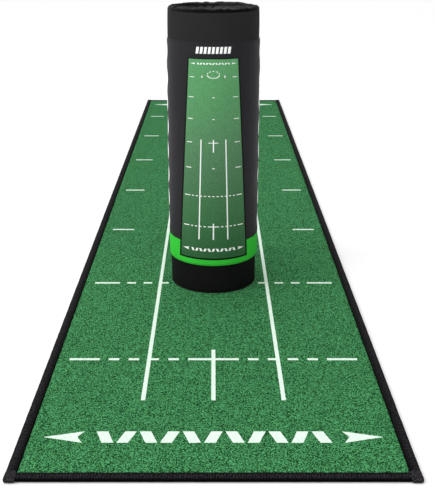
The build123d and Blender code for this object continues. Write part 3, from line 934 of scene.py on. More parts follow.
@dataclass(frozen=True)
class Markings:
    """The mat's white pattern, in metres from its centre line and near end."""

    length: float = 2.4
    line: float = 0.006
    row_pitch: float = 0.3
    rows: int = 7
    tick_length: float = 0.046
    tick_centre: float = 0.196
    lane: float = 0.098
    lane_start: float = 0.179
    lane_end: float = 1.24
    dash: float = 0.016
    dash_pitch: float = 0.0303
    cross: float = 0.077
    first_cross_end: float = 0.331
    second_cross_row: int = 4
    second_before: float = 0.114
    second_after: float = 0.04
    centre_tick: float = 0.02
    ring_radius: float = 0.054
    ring_dashes: int = 5
    ring_steps: int = 12
    hole_centre: float = 2.14
    hole_mark: float = 0.102
    hole_mark_centre: float = 2.108
    hole_mark_length: float = 0.034
    band_start: float = 0.074
    band_depth: float = 0.026
    band_half: float = 0.14
    band_bars: int = 11
    bar_width: float = 0.015
    bar_lean: float = 0.009
    arrow_tip: float = 0.219
    arrow_tail: float = 0.168
    arrow_notch: float = 0.008

    @staticmethod
    def block(x: float, y: float, width: float, depth: float) -> Patch:
        """Give a rectangular mark about a centre."""
        w, d = width / 2, depth / 2
        return Patch(((x - w, y - d), (x + w, y - d), (x + w, y + d), (x - w, y + d)))

    def lines(self) -> Iterator[Patch]:
        """Give the ticks, lanes, dashed rows and crosses.

        Returns:
            Each straight mark in turn.
        """
        for side in (-1, 1):
            for row in range(1, self.rows + 1):
                yield self.block(side * self.tick_centre, row * self.row_pitch, self.tick_length, self.line)
            middle = (self.lane_start + self.lane_end) / 2
            yield self.block(side * self.lane, middle, self.line, self.lane_end - self.lane_start)
            for step in range(1, 6):
                for row in (1, 2):
                    if step > 1 or row == 2:
                        x, y = side * step * self.dash_pitch, row * self.row_pitch
                        yield self.block(x, y, self.dash, self.line)
            yield self.block(side * self.hole_mark, self.hole_mark_centre, self.line, self.hole_mark_length)
        yield self.block(0, 2 * self.row_pitch, self.dash, self.line)
        for row in (3, 5, 6):
            yield self.block(0, row * self.row_pitch, self.centre_tick, self.line)
        for row in (1, self.second_cross_row):
            yield self.block(0, row * self.row_pitch, self.cross, self.line)
        first = (self.lane_start + self.first_cross_end) / 2
        yield self.block(0, first, self.line, self.first_cross_end - self.lane_start)
        second = self.second_cross_row * self.row_pitch + (self.second_after - self.second_before) / 2
        yield self.block(0, second, self.line, self.second_before + self.second_after)

    def ring(self) -> Iterator[Patch]:
        """Give the hole ring: dashed on its far half, whole on its near half.

        Returns:
            Each short stretch of the ring in turn.
        """
        centre = self.hole_centre
        low, high = self.ring_radius - self.line / 2, self.ring_radius + self.line / 2
        half_gap = math.asin(self.line / self.ring_radius)
        dash = math.pi / self.ring_dashes
        spans = [(n * dash + half_gap, (n + 1) * dash - half_gap) for n in range(self.ring_dashes)]
        spans.append((math.pi + half_gap, TURN - half_gap))
        for start, stop in spans:
            steps = max(3, round(self.ring_steps * (stop - start)))
            for step in range(steps):
                a = start + (stop - start) * step / steps
                b = start + (stop - start) * (step + 1) / steps
                yield Patch(
                    (
                        (low * math.cos(a), centre + low * math.sin(a)),
                        (high * math.cos(a), centre + high * math.sin(a)),
                        (high * math.cos(b), centre + high * math.sin(b)),
                        (low * math.cos(b), centre + low * math.sin(b)),
                    )
                )

    def end_band(self, middle: float) -> Iterator[Patch]:
        """Give one end's arrowheads and its row of leaning bars.

        Args:
            middle: The band's distance from the near end.

        Returns:
            Each mark in turn.
        """
        half = self.band_depth / 2
        for side in (-1, 1):
            yield Patch(
                (
                    (side * self.arrow_tip, middle),
                    (side * self.arrow_tail, middle - half),
                    (side * (self.arrow_tail + self.arrow_notch), middle),
                    (side * self.arrow_tail, middle + half),
                )
            )
        for bar in range(self.band_bars):
            x = (2 * bar / (self.band_bars - 1) - 1) * self.band_half
            lean = self.bar_lean / 2 if bar % 2 else -self.bar_lean / 2
            w = self.bar_width / 2
            yield Patch(
                (
                    (x - w - lean, middle - half),
                    (x + w - lean, middle - half),
                    (x + w + lean, middle + half),
                    (x - w + lean, middle + half),
                )
            )

    def all(self) -> list[Patch]:
        """Give every mark."""
        near = self.band_start + self.band_depth / 2
        bands = [*self.end_band(near), *self.end_band(self.length - near)]
        return [*self.lines(), *self.ring(), *bands]


# ------------------------------------------------------------------ mat
@dataclass
class Mat:
    """The turf with its white pattern, the layers under it and its bound edges."""

    wardrobe: Wardrobe
    markings: Markings = field(default_factory=Markings)
    body: str = "mat"
    cell: float = 2.6 * MM
    pile_drop: float = 0.5 * MM
    pile_unevenness: float = 0.2 * MM
    white_cell: float = 1.5 * MM
    tuck: float = 0.8 * MM
    edge_drop: float = 1.3 * MM
    edge_reach: float = 3.0 * MM
    tape_bulge: float = 1.6 * MM
    end_shift: float = 1.5 * MM
    tape_height: float = 6.9 * MM
    tape_roundness: float = 2.7
    stitch_pitch: float = 4.2 * MM
    stitch_inset: float = 2.6 * MM

    def __post_init__(self) -> None:
        """Read the mat's places from the frame."""
        self.low, self.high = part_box("turf_pile")
        tape_low, tape_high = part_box("near_end_binding")
        self.edge_y = -tape_low.y
        self.open_y = -tape_high.y
        self.edge_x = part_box("right_edge_binding")[1].x
        self.open_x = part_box("right_edge_binding")[0].x
        self.fold_y = -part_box("right_edge_binding")[0].y

    def pile_height(self, x: float, y: float) -> float:
        """Give the height of the green pile at a place."""
        point = Vector((x, y, 0))
        uneven = wander(point, 140, 0.35) + wander(point, 40, 0.65)
        inside = min(self.open_x - abs(x), self.open_y + self.end_shift - abs(y))
        edge = max(0.0, 1 - max(0.0, inside) / self.edge_reach) ** 2
        return self.high.z - self.pile_drop + self.pile_unevenness * uneven - self.edge_drop * edge

    def turf(self) -> None:
        """Lay the green pile as two halves that meet at the middle of the mat."""
        half_x = self.open_x + self.tuck
        half_y = self.open_y + self.end_shift + self.tuck
        cells = (round(2 * half_x / self.cell), round(half_y / self.cell))
        halves = ((-half_y, "turf_near_half", ("turf_pile",)), (0.0, "turf_far_half", ()))
        for start, name, stands_for in halves:

            def place(across: float, along: float, start: float = start) -> Vector:
                """Give a point of this half."""
                x = half_x * (2 * across - 1)
                y = start + half_y * along
                return Vector((x, y, self.pile_height(x, y)))

            half = laid_out(name, cells, place, (2 * half_x, half_y), Vector((0, 0, 1)))
            self.wardrobe.attach(half, GREEN_PILE, self.body, "green_turf", stands_for)

    def white_marks(self) -> None:
        """Lay the white pile marks into the green."""
        top = self.high.z - 0.1 * MM
        pieces = []
        for patch in self.markings.all():
            width, length = patch.size()
            cells = (max(2, round(width / self.white_cell)), max(2, round(length / self.white_cell)))

            def place(across: float, along: float, patch: Patch = patch) -> Vector:
                """Give a point of this mark, with a tufted edge."""
                x, y = patch.at(across, along)
                y -= self.markings.length / 2
                point = Vector((x, y, 0))
                x += wander(point, 420, 0.45 * MM)
                y += wander(point + Vector((7, 3, 1)), 420, 0.45 * MM)
                return Vector((x, y, top + wander(point, 500, 0.08 * MM)))

            pieces.append(laid_out("mark", cells, place, (width, length), Vector((0, 0, 1))))
        marks = joined("white_marks", pieces)
        finish_with(marks, "SOLIDIFY", thickness=0.9 * MM, offset=-1)
        smooth(marks)
        self.wardrobe.attach(marks, WHITE_PILE, self.body, "white_turf", ("white_pile_markings",))

    def tape_outline(self, share: float) -> tuple[float, float]:
        """Give a point round a tape's section.

        Args:
            share: 0 at the inner edge on top, 1 at the inner edge underneath.

        Returns:
            The distance in from the mat's edge, and the height.
        """
        cover = self.edge_x - self.open_x
        half_width = (cover + self.tape_bulge) / 2
        half_height = self.tape_height / 2
        middle = cover - half_width
        if share > 0.8:
            return middle + (cover - middle) * (share - 0.8) / 0.2, 0.0
        turn = math.radians(20 + 250 * share / 0.8)
        across, up = math.cos(turn), math.sin(turn)
        power = 2 / self.tape_roundness
        inward = middle + half_width * math.copysign(abs(across) ** power, across)
        return inward, half_height * (1 + math.copysign(abs(up) ** power, up))

    def tape(
        self, name: str, half_length: float, put: Callable[[float, float, float], Vector], stands_for: str
    ) -> None:
        """Fold one tape round an edge.

        Args:
            name: The piece's name.
            half_length: Half the tape's length.
            put: Turns a distance in from the edge, a distance along and a height into a place.
            stands_for: The CAD node that it replaces.
        """
        round_length = 2 * (self.edge_x - self.open_x + self.tape_bulge) + self.tape_height

        def place(across: float, along: float) -> Vector:
            """Give a point of the tape."""
            inward, height = self.tape_outline(across)
            at = half_length * (2 * along - 1)
            seed = Vector((at, inward * 3, half_length + ord(name[0])))
            inward += wander(seed, 60, 0.3 * MM) if across < 0.55 else 0
            height += wander(seed, 140, 0.3 * MM) if across < 0.45 else 0
            return put(inward, at, max(0.0, height))

        cells = (26, round(2 * half_length / (5 * MM)))
        first = put(0.01, -half_length, 1.0) - put(0.01, -half_length, 0.0)
        tape = laid_out(name, cells, place, (round_length, 2 * half_length), first)
        finish_with(tape, "SOLIDIFY", thickness=0.8 * MM, offset=-1)
        smooth(tape, 60)
        self.wardrobe.attach(tape, OVERLOCK, self.body, "binding_tape", (stands_for,))

    def corner_fold(self, side: int, end: int) -> None:
        """Fold a side tape's end over a corner of the mat.

        Args:
            side: -1 for left, 1 for right.
            end: -1 for near, 1 for far.
        """
        low_y, high_y = self.open_y - 1 * MM, self.fold_y + self.end_shift + 1 * MM
        low_x, high_x = self.open_x - 0.3 * MM, self.edge_x + self.tape_bulge + 0.2 * MM
        depth, width, height = high_y - low_y, high_x - low_x, self.tape_height + 0.6 * MM
        centre = (side * (low_x + high_x) / 2, end * (low_y + high_y) / 2, height / 2)
        deselect_all()
        bpy.ops.mesh.primitive_cube_add(size=1, location=centre, scale=(width, depth, height))
        fold = settle(bpy.context.object)
        fold.name = f"{'left' if side < 0 else 'right'}_{'near' if end < 0 else 'far'}_corner_fold"
        finish_with(fold, "BEVEL", width=3.1 * MM, segments=5, limit_method="NONE")
        edit(fold, lambda: bpy.ops.mesh.subdivide(number_cuts=2))
        for vertex in fold.data.vertices:
            rumple = wander(vertex.co + Vector((side, end, 0)), 170, 0.5 * MM)
            vertex.co.z = max(0.0, vertex.co.z + (rumple if vertex.co.z > 1 * MM else 0))
        edit(fold, lambda: bpy.ops.uv.cube_project(cube_size=1.0))
        smooth(fold, 60)
        self.wardrobe.attach(fold, CORNER, self.body, "binding_tape")

    def stitches(self, name: str, centre: Vector, along: Vector, half_length: float, stands_for: str) -> None:
        """Sew one row of stitches on a tape.

        Args:
            name: The piece's name.
            centre: The middle of the row.
            along: The row's direction.
            half_length: Half its length.
            stands_for: The CAD node that it replaces.
        """
        count = round(2 * half_length / self.stitch_pitch)
        places = []
        for index in range(count):
            at = centre + along * (self.stitch_pitch * (index + 0.5) - half_length)
            skew = 0.06 * math.sin(index * 1.7)
            direction = (along + Vector((along.y, -along.x, 0)) * skew).normalized()
            places.append((at, direction, Vector((0, 0, 1))))
        row = repeated(name, stitch_pattern(3.3 * MM, 0.75 * MM), places)
        self.wardrobe.attach(row, THREAD, self.body, "black_thread", (stands_for,))

    def edges(self) -> None:
        """Bind all four edges, fold the corners and sew the tapes on."""
        stitch_z = self.tape_height - 0.55 * MM
        for side, word in ((-1, "left"), (1, "right")):
            self.tape(
                f"{word}_side_tape",
                self.edge_y,
                lambda inward, at, height, side=side: Vector((side * (self.edge_x - inward), at, height)),
                f"{word}_edge_binding",
            )
            centre = Vector((side * (self.open_x + self.stitch_inset), 0, stitch_z))
            half = self.open_y - 3 * MM
            self.stitches(f"{word}_side_stitches", centre, Vector((0, 1, 0)), half, f"{word}_edge_stitching")
            for end in (-1, 1):
                self.corner_fold(side, end)
        for end, word in ((-1, "near"), (1, "far")):
            self.tape(
                f"{word}_end_tape",
                self.open_x + 2 * MM,
                lambda inward, at, height, end=end: Vector(
                    (at, end * (self.edge_y + self.end_shift - inward), height)
                ),
                f"{word}_end_binding",
            )
            centre = Vector((0, end * (self.open_y + self.end_shift + self.stitch_inset), stitch_z))
            name, stands_for = f"{word}_end_stitches", f"{word}_end_stitching"
            self.stitches(name, centre, Vector((1, 0, 0)), self.open_x, stands_for)

    def fringe(self) -> None:
        """Stand a row of tufts along the tapes' inner edges, where the pile spills over them."""
        deselect_all()
        bpy.ops.mesh.primitive_cone_add(vertices=4, radius1=0.9 * MM, radius2=0.15 * MM, depth=2.4 * MM)
        tuft = settle(bpy.context.object)
        tuft.name = "tuft"
        places = []
        pitch = 1.9 * MM
        base = self.high.z - 1.5 * MM
        for side in (-1, 1):
            for index in range(int(2 * self.open_y / pitch)):
                y = -self.open_y + index * pitch
                lean = wander(Vector((side, y, 0)), 700, 0.5)
                x = side * (self.open_x - 1.0 * MM + wander(Vector((y, side, 3)), 500, 0.9 * MM))
                up = Vector((side * 0.25, lean, 1)).normalized()
                places.append((Vector((x, y, base)), up.orthogonal().normalized(), up))
            for index in range(int(2 * self.open_x / pitch)):
                x = -self.open_x + index * pitch
                lean = wander(Vector((x, side, 5)), 700, 0.5)
                stray = wander(Vector((x, 3, side)), 500, 0.9 * MM)
                y = side * (self.open_y + self.end_shift - 1.0 * MM + stray)
                up = Vector((lean, side * 0.25, 1)).normalized()
                places.append((Vector((x, y, base)), up.orthogonal().normalized(), up))
        fringe = repeated("edge_tufts", tuft, places)
        self.wardrobe.attach(fringe, GREEN_PILE, self.body, "green_turf")

    def dress_layers(self, nodes: dict[str, bpy.types.Object]) -> None:
        """Dress the layers that keep their CAD shape."""
        self.wardrobe.dress(nodes["rubber_underlay"], RUBBER)
        self.wardrobe.dress(nodes["primary_backing"], BACKING)

    def build(self, nodes: dict[str, bpy.types.Object]) -> None:
        """Build and dress the whole mat."""
        self.turf()
        self.white_marks()
        self.edges()
        self.fringe()
        self.dress_layers(nodes)


# ------------------------------------------------------------------ bag
@dataclass
class Bag:
    """The padded bag: base, lime band, sleeve, cuff, prints and seams."""

    wardrobe: Wardrobe
    markings: Markings = field(default_factory=lambda: Markings(line=0.0085))
    body: str = "storage_bag"
    steps_round: int = 168
    side_wave: float = 0.6 * MM
    rumple: float = 0.4 * MM
    foreshortening: float = 0.2107

    def __post_init__(self) -> None:
        """Read the bag's places from the frame."""
        low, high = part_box("green_band")
        self.axis = Vector(((low.x + high.x) / 2, (low.y + high.y) / 2, 0))
        self.band_low, self.band_high = low.z, high.z
        self.radius_low = (high.x - low.x) / 2
        sleeve_low, sleeve_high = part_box("outer_sleeve")
        self.sleeve_top = sleeve_high.z
        seam_low, seam_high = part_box("cuff_stitching")
        self.radius_high = (seam_high.x - seam_low.x) / 2
        cuff_low, cuff_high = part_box("top_cuff")
        self.cuff_low, self.cuff_top = cuff_low.z, cuff_high.z
        self.rim_radius = (cuff_high.x - cuff_low.x) / 2
        self.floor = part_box("bag_base_fabric")[0].z

    def sleeve_radius(self, angle: float, z: float) -> float:
        """Give the sleeve's radius, with the soft waves of its sides.

        Args:
            angle: The angle from the front, towards +X.
            z: The height.

        Returns:
            The radius in metres.
        """
        share = (z - self.band_low) / (self.sleeve_top - self.band_low)
        plain = self.radius_low + share * (self.radius_high - self.radius_low)
        sides = math.sin(angle) ** 4
        swell = 0.5 + 0.5 * math.sin(TURN * z / 0.061 + 0.8 * math.sin(angle) + 2.4 * math.sin(11 * z))
        edge = min(1.0, (z - self.band_low) / 0.03, (self.sleeve_top - z) / 0.02)
        folds = 0.5 + 0.5 * noise.noise(Vector((2.2 * math.sin(angle), 2.2 * math.cos(angle), z * 26)))
        return plain + max(0.0, edge) * (self.side_wave * sides * swell + self.rumple * folds)

    def on_sleeve(self, angle: float, z: float, lift: float = 0.0) -> Vector:
        """Give a place on the sleeve, or a little in front of it."""
        return self.around(angle, self.sleeve_radius(angle, z) + lift, z)

    def around(self, angle: float, radius: float, z: float) -> Vector:
        """Give a place from its angle from the front, its radius and its height."""
        return self.axis + Vector((radius * math.sin(angle), -radius * math.cos(angle), z))

    def tube(
        self, name: str, rows: int, radius: Callable[[float, float], float], low: float, high: float
    ) -> bpy.types.Object:
        """Make a tube of cloth round the bag's axis.

        Args:
            name: The piece's name.
            rows: How many faces it has from bottom to top.
            radius: Gives the radius from an angle and a height.
            low: The bottom's height.
            high: The top's height.

        Returns:
            The tube, one cloth thick.
        """

        def place(across: float, along: float) -> Vector:
            """Give a point of the tube."""
            angle = TURN * across - math.pi
            z = low + (high - low) * along
            return self.around(angle, radius(angle, z), z)

        size = (TURN * self.rim_radius, high - low)
        tube = laid_out(name, (self.steps_round, rows), place, size, Vector((0, 1, 0)), closed_round=True)
        finish_with(tube, "SOLIDIFY", thickness=0.7 * MM, offset=-1)
        smooth(tube)
        return tube

    def base(self) -> None:
        """Make the base cup, with a soft edge where its wall turns under."""
        depth = 7 * MM

        def wall(angle: float, z: float) -> float:
            """Give the wall's radius, drawn in at the bottom edge."""
            rise = min(1.0, (z - self.floor) / depth)
            tuck = 2.6 * MM * (1 - math.sqrt(1 - (1 - rise) ** 2))
            soft = 0.25 * MM * noise.noise(Vector((3 * math.sin(angle), 3 * math.cos(angle), z * 30)))
            return self.rim_radius - tuck + soft

        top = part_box("bag_base_panel")[1].z
        cup = self.tube("base_cup", 26, wall, self.floor, top)
        self.wardrobe.attach(cup, BASE, self.body, "base_fabric", ("bag_base_panel",))

    def band_and_sleeve(self) -> None:
        """Make the lime band and the padded sleeve above it."""

        def rolled(low: float, high: float) -> Callable[[float, float], float]:
            """Give a radius that turns in softly at a panel's two seams."""

            def radius(angle: float, z: float) -> float:
                """Give the panel's radius at an angle and a height."""
                near = min(z - low, high - z) / (2.5 * MM)
                return self.sleeve_radius(angle, z) - 0.5 * MM * max(0.0, 1 - near) ** 2

            return radius

        low, high, top = self.band_low, self.band_high, self.sleeve_top
        band = self.tube("lime_band", 16, rolled(low, high), low, high)
        self.wardrobe.attach(band, LIME, self.body, "lime_fabric", ("green_band",))
        sleeve = self.tube("padded_sleeve", 110, rolled(high, top), high, top)
        self.wardrobe.attach(sleeve, SLEEVE, self.body, "sleeve_fabric", ("outer_sleeve",))

    def cuff(self) -> None:
        """Make the smooth cuff, with slack folds above the sleeve's edge."""

        def radius(angle: float, z: float) -> float:
            """Give the cuff's radius at an angle and a height."""
            share = min(1.0, (z - self.cuff_low) / (self.cuff_top - self.cuff_low))
            slack = noise.noise(Vector((4 * math.sin(angle), 4 * math.cos(angle), z * 12)))
            return self.rim_radius + math.sin(math.pi * share) * (0.5 * MM + 0.35 * MM * slack)

        cuff = self.tube("smooth_cuff", 20, radius, self.cuff_low, self.cuff_top + 1.2 * MM)
        self.wardrobe.attach(cuff, CUFF, self.body, "cuff_fabric", ("top_cuff",))

    def seam(self, name: str, z: float, pitch: float, stands_for: tuple[str, ...]) -> None:
        """Sew a row of stitches round the sleeve.

        Args:
            name: The piece's name.
            z: The row's height.
            pitch: The distance from stitch to stitch.
            stands_for: The CAD nodes that it replaces.
        """
        count = round(TURN * self.radius_low / pitch)
        places = []
        for index in range(count):
            angle = TURN * index / count
            at = self.on_sleeve(angle, z)
            out = Vector((math.sin(angle), -math.cos(angle), 0))
            places.append((at, out.cross(Vector((0, 0, 1))), out))
        row = repeated(name, stitch_pattern(2.5 * MM, 0.6 * MM), places)
        self.wardrobe.attach(row, THREAD, self.body, "black_thread", stands_for)

    def back_seam(self) -> None:
        """Make the taped seam down the back, with a row of stitches on both of its sides."""
        low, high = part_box("back_seam_tape")
        half_angle = (high.x - low.x) / 2 / self.radius_low

        def place(across: float, along: float) -> Vector:
            """Give a point of the tape, raised along its middle."""
            z = low.z + (high.z - low.z) * along
            angle = math.pi + half_angle * (2 * across - 1)
            return self.on_sleeve(angle, z, 0.25 * MM + 0.3 * MM * math.sin(math.pi * across))

        size = (high.x - low.x, high.z - low.z)
        tape = laid_out("back_seam", (12, 90), place, size, Vector((0, 1, 0)))
        finish_with(tape, "SOLIDIFY", thickness=0.4 * MM, offset=-1)
        smooth(tape)
        self.wardrobe.attach(tape, SEAM_TAPE, self.body, "sleeve_tape", ("back_seam_tape",))
        places = []
        for side in (-1, 1):
            angle = math.pi + side * half_angle * 0.75
            out = Vector((math.sin(angle), -math.cos(angle), 0))
            for index in range(int(size[1] / (3.6 * MM))):
                at = self.on_sleeve(angle, low.z + index * 3.6 * MM + 2 * MM, 0.55 * MM)
                places.append((at, Vector((0, 0, 1)), out))
        rows = repeated("back_seam_stitches", stitch_pattern(2.8 * MM, 0.6 * MM), places)
        self.wardrobe.attach(rows, THREAD, self.body, "black_thread")

    def lining(self) -> None:
        """Hang the lining, with slack wrinkles that stand in from the foam."""
        low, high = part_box("inner_lining")
        outer = (high.x - low.x) / 2

        def radius(angle: float, z: float) -> float:
            """Give the lining's radius at an angle and a height."""
            at = Vector((5 * math.sin(angle), 5 * math.cos(angle), z * 14))
            return outer - 0.6 * MM * (0.5 + 0.5 * noise.noise(at))

        lining = self.tube("slack_lining", 80, radius, low.z, high.z)
        self.wardrobe.attach(lining, LINING, self.body, "lining_fabric", ("inner_lining",))

    def underside(self) -> None:
        """Make the round of cloth under the bag, quilted lightly round its stiffener."""
        low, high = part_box("bag_base_fabric")
        outer = (high.x - low.x) / 2

        def place(across: float, along: float) -> Vector:
            """Give a point of the round."""
            angle = TURN * across - math.pi
            pucker = 0.2 * MM * math.sin(TURN * 3 * along) ** 2 * math.sin(math.pi * along)
            return self.around(angle, outer * along, low.z + pucker)

        size = (TURN * outer, outer)
        sewn = laid_out("sewn_underside", (96, 40), place, size, None, closed_round=True)
        face_out(sewn, Vector((0, 0, -1)))
        finish_with(sewn, "SOLIDIFY", thickness=high.z - low.z - 0.3 * MM, offset=-1)
        smooth(sewn)
        self.wardrobe.attach(sewn, BASE, self.body, "base_fabric", ("bag_base_fabric",))

    def dress_inside(self, nodes: dict[str, bpy.types.Object]) -> None:
        """Dress the foam and the stiffener, which keep their CAD shape."""
        self.lining()
        self.underside()
        for name, finish in (("foam_padding", FOAM), ("bag_base_board", BOARD)):
            self.wardrobe.dress(nodes[name], finish)

    def build(self, nodes: dict[str, bpy.types.Object]) -> None:
        """Build and dress the bag's shell."""
        self.base()
        self.band_and_sleeve()
        self.cuff()
        self.seam("cuff_seam", self.sleeve_top - 3 * MM, 3.2 * MM, ("cuff_stitching",))
        self.seam("band_seam", self.band_low + 2.2 * MM, 3.2 * MM, ("band_lower_stitching",))
        self.back_seam()
        self.dress_inside(nodes)


@dataclass
class Prints:
    """The films on the sleeve: the picture of the mat, the row above it and the side prints."""

    wardrobe: Wardrobe
    bag: Bag
    mat_half: float = 0.25
    picture_scale: float = 0.2715
    binding: float = 0.0145
    side_columns: int = 8

    def __post_init__(self) -> None:
        """Read the picture's place from the frame."""
        self.low, self.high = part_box("picture_panel")
        length = self.bag.markings.length
        end = 1 + self.bag.foreshortening * length
        self.rise = (self.high.z * end - self.low.z) / length

    def on_picture(self, x: float, distance: float, lift: float) -> Vector:
        """Give the place on the picture of a point on the mat, as the picture's perspective shows it.

        Args:
            x: The point's distance from the mat's centre line.
            distance: Its distance from the near end.
            lift: How far in front of the sleeve it lies.

        Returns:
            The place in the frame.
        """
        shrink = 1 + self.bag.foreshortening * distance
        z = (self.low.z + self.rise * distance) / shrink
        angle = self.picture_scale * x / shrink / self.bag.radius_low
        return self.bag.on_sleeve(angle, z, lift)

    def picture(self) -> None:
        """Make the picture's ground on the dark edge that stands for the mat's binding."""
        length = self.bag.markings.length
        for name, inset, lift, finish, stands_for in (
            ("picture_edge", 0.0, 0.25 * MM, PRINT_EDGE, ()),
            ("picture_ground", self.binding, 0.4 * MM, self.ground(), ("picture_panel",)),
        ):
            half = self.mat_half - inset

            def place(
                across: float, along: float, half: float = half, inset: float = inset, lift: float = lift
            ) -> Vector:
                """Give a point of the film."""
                return self.on_picture(half * (2 * across - 1), inset + (length - 2 * inset) * along, lift)

            size = (2 * half * self.picture_scale, self.high.z - self.low.z)
            film = laid_out(name, (40, 120), place, size, Vector((0, -1, 0)))
            finish_with(film, "SOLIDIFY", thickness=0.15 * MM, offset=-1)
            smooth(film)
            self.wardrobe.attach(film, finish, self.bag.body, "picture_film", stands_for)

    def ground(self) -> Picture:
        """Give the picture's green, over the heights that it spans."""
        return Picture("picture_green", "2d6238", "5aa066", 0.5, low=self.low.z, high=self.high.z)

    def picture_marks(self) -> None:
        """Print the mat's pattern on the picture."""
        pieces = []
        for patch in self.bag.markings.all():
            width, length = patch.size()
            cells = (max(1, round(width / (12 * MM))), max(1, round(length / (12 * MM))))

            def place(across: float, along: float, patch: Patch = patch) -> Vector:
                """Give a point of this mark on the picture."""
                x, distance = patch.at(across, along)
                return self.on_picture(x, distance, 0.47 * MM)

            pieces.append(laid_out("print", cells, place, (width, length), Vector((0, -1, 0))))
        marks = joined("picture_marks", pieces)
        self.wardrobe.attach(marks, PRINT, self.bag.body, "white_print")

    def title(self) -> None:
        """Print a plain row of bars above the picture."""
        low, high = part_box("title_print")
        count, pitch, width = 9, 6.6 * MM, 4.4 * MM
        pieces = []
        for index in range(count):
            middle = (index - (count - 1) / 2) * pitch

            def place(across: float, along: float, middle: float = middle) -> Vector:
                """Give a point of this bar."""
                z = low.z + (high.z - low.z) * along
                x = middle + width * (across - 0.5) + 1.6 * MM * (along - 0.5)
                return self.bag.on_sleeve(math.asin(x / self.bag.radius_low), z, 0.3 * MM)

            pieces.append(laid_out("bar", (3, 6), place, (width, high.z - low.z), Vector((0, -1, 0))))
        row = joined("title_bars", pieces)
        finish_with(row, "SOLIDIFY", thickness=0.15 * MM, offset=-1)
        self.wardrobe.attach(row, PRINT, self.bag.body, "white_print", ("title_print",))

    def side(self, side: int, word: str) -> None:
        """Print a column of ovals on one side.

        Args:
            side: -1 for left, 1 for right.
            word: The side's name.
        """
        low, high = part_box(f"{word}_side_print")
        tall = (high.z - low.z) / (1 + (self.side_columns - 1) / 0.884)
        pitch = tall / 0.884
        wide = (high.y - low.y) / 2
        pieces = []
        for index in range(self.side_columns):
            middle = low.z + tall / 2 + index * pitch

            def place(across: float, along: float, middle: float = middle) -> Vector:
                """Give a point of this oval, from its centre outwards."""
                turn = TURN * across
                reach = along
                z = middle + tall / 2 * reach * math.sin(turn)
                angle = side * math.pi / 2 + wide / self.bag.radius_low * reach * math.cos(turn)
                return self.bag.on_sleeve(angle, z, 0.35 * MM)

            oval = laid_out("oval", (40, 9), place, (2 * wide, tall), None, closed_round=True)
            face_out(oval, Vector((side, 0, 0)))
            pieces.append(oval)
        column = joined(f"{word}_side_ovals", pieces)
        self.wardrobe.attach(column, PRINT, self.bag.body, "white_print", (f"{word}_side_print",))

    def build(self) -> None:
        """Make every film."""
        self.picture()
        self.picture_marks()
        self.title()
        self.side(-1, "left")
        self.side(1, "right")


@dataclass
class Drawcord:
    """The cord that closes the mouth, its knot, and the spring in its lock."""

    wardrobe: Wardrobe
    body: str = "storage_bag"
    radius: float = 1.3 * MM
    length: float = 223.8 * MM
    ring: float = 21.73 * MM
    knot_radius: float = 2.9 * MM
    knot_rise: float = 2.6 * MM
    press: float = 3.0 * MM
    spring_turns: int = 5
    wire_radius: float = 0.35 * MM

    def __post_init__(self) -> None:
        """Read the cord's places from the frame."""
        low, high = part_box("mouth_hem")
        self.centre = (low + high) / 2
        self.half = [
            (-1.6, -3.0, -34.0),
            (-1.6, -3.0, -13.0),
            (-1.6, -3.0, 0.0),
            (-1.6, -18.1, 0.0),
            (-4.95, -20.5, 0.0),
        ]

    def route(self) -> list[Vector]:
        """Lead the cord up from the knot, out through the exit, round the hem and back."""
        left = [self.centre + Vector(point) * MM for point in self.half]
        right = [self.centre + Vector((-x, y, z)) * MM for x, y, z in reversed(self.half)]
        angles = (math.radians(angle) for angle in range(45, 316, 30))
        hem = [self.centre - self.ring * Vector((math.sin(angle), math.cos(angle), 0)) for angle in angles]
        return left + hem + right

    def cord(self) -> bpy.types.Object:
        """Make the cord as one smooth curve along its route.

        Returns:
            The cord.
        """
        curve = bpy.data.curves.new("braided_cord", "CURVE")
        curve.dimensions = "3D"
        curve.bevel_depth = self.radius
        curve.bevel_resolution = 4
        curve.use_fill_caps = True
        curve.resolution_u = 12
        points = self.route()
        spline = curve.splines.new("NURBS")
        spline.points.add(len(points) - 1)
        for point, at in zip(spline.points, points):
            point.co = (*at, 1)
        spline.order_u = 3
        spline.use_endpoint_u = True
        cord = bpy.data.objects.new("braided_cord", curve)
        bpy.context.scene.collection.objects.link(cord)
        self.wardrobe.dress(cord, BRAID)
        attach(cord, self.body)
        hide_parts("drawcord")
        return cord

    def knot(self) -> bpy.types.Object:
        """Tie the cord's two ends in one knot.

        Returns:
            The knot.
        """
        low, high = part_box("drawcord_knot")
        middle = (low + high) / 2

        def line(share: float) -> Vector:
            """Give a point of the knot's middle line."""
            t = TURN * share
            across = (math.sin(t) + 2 * math.sin(2 * t)) / 3
            along = (math.cos(t) - 2 * math.cos(2 * t)) / 3
            return middle + Vector(
                (self.knot_radius * across, self.knot_radius * along, -self.knot_rise * math.sin(3 * t))
            )

        knot = strand("tied_knot", line, Vector((0, 0, 1)), self.radius, (12, 120))
        return self.wardrobe.attach(knot, BRAID, self.body, "cord_braid", ("drawcord_knot",))

    def spring(self) -> None:
        """Wind the lock's spring, which in the real lock shortens as the button goes in."""
        low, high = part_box("cord_lock_spring")
        middle = (low + high) / 2
        wide = (high.x - low.x) / 2 - self.wire_radius
        long = high.y - low.y - 2 * self.wire_radius

        def line(share: float) -> Vector:
            """Give a point of the wire's middle line."""
            turn = TURN * self.spring_turns * share
            along = low.y + self.wire_radius + long * share
            return Vector((middle.x + wide * math.cos(turn), along, middle.z + wide * math.sin(turn)))

        spring = strand("wound_spring", line, Vector((0, 1, 0)), self.wire_radius, (10, 160))
        self.wardrobe.attach(spring, WIRE, "cord_lock", "spring_wire", ("cord_lock_spring",))
        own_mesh(spring)

    def build(self) -> None:
        """Build the cord, its knot and the spring."""
        cord = self.cord()
        knot = self.knot()
        tuple(self.route()[0])
        self.spring()


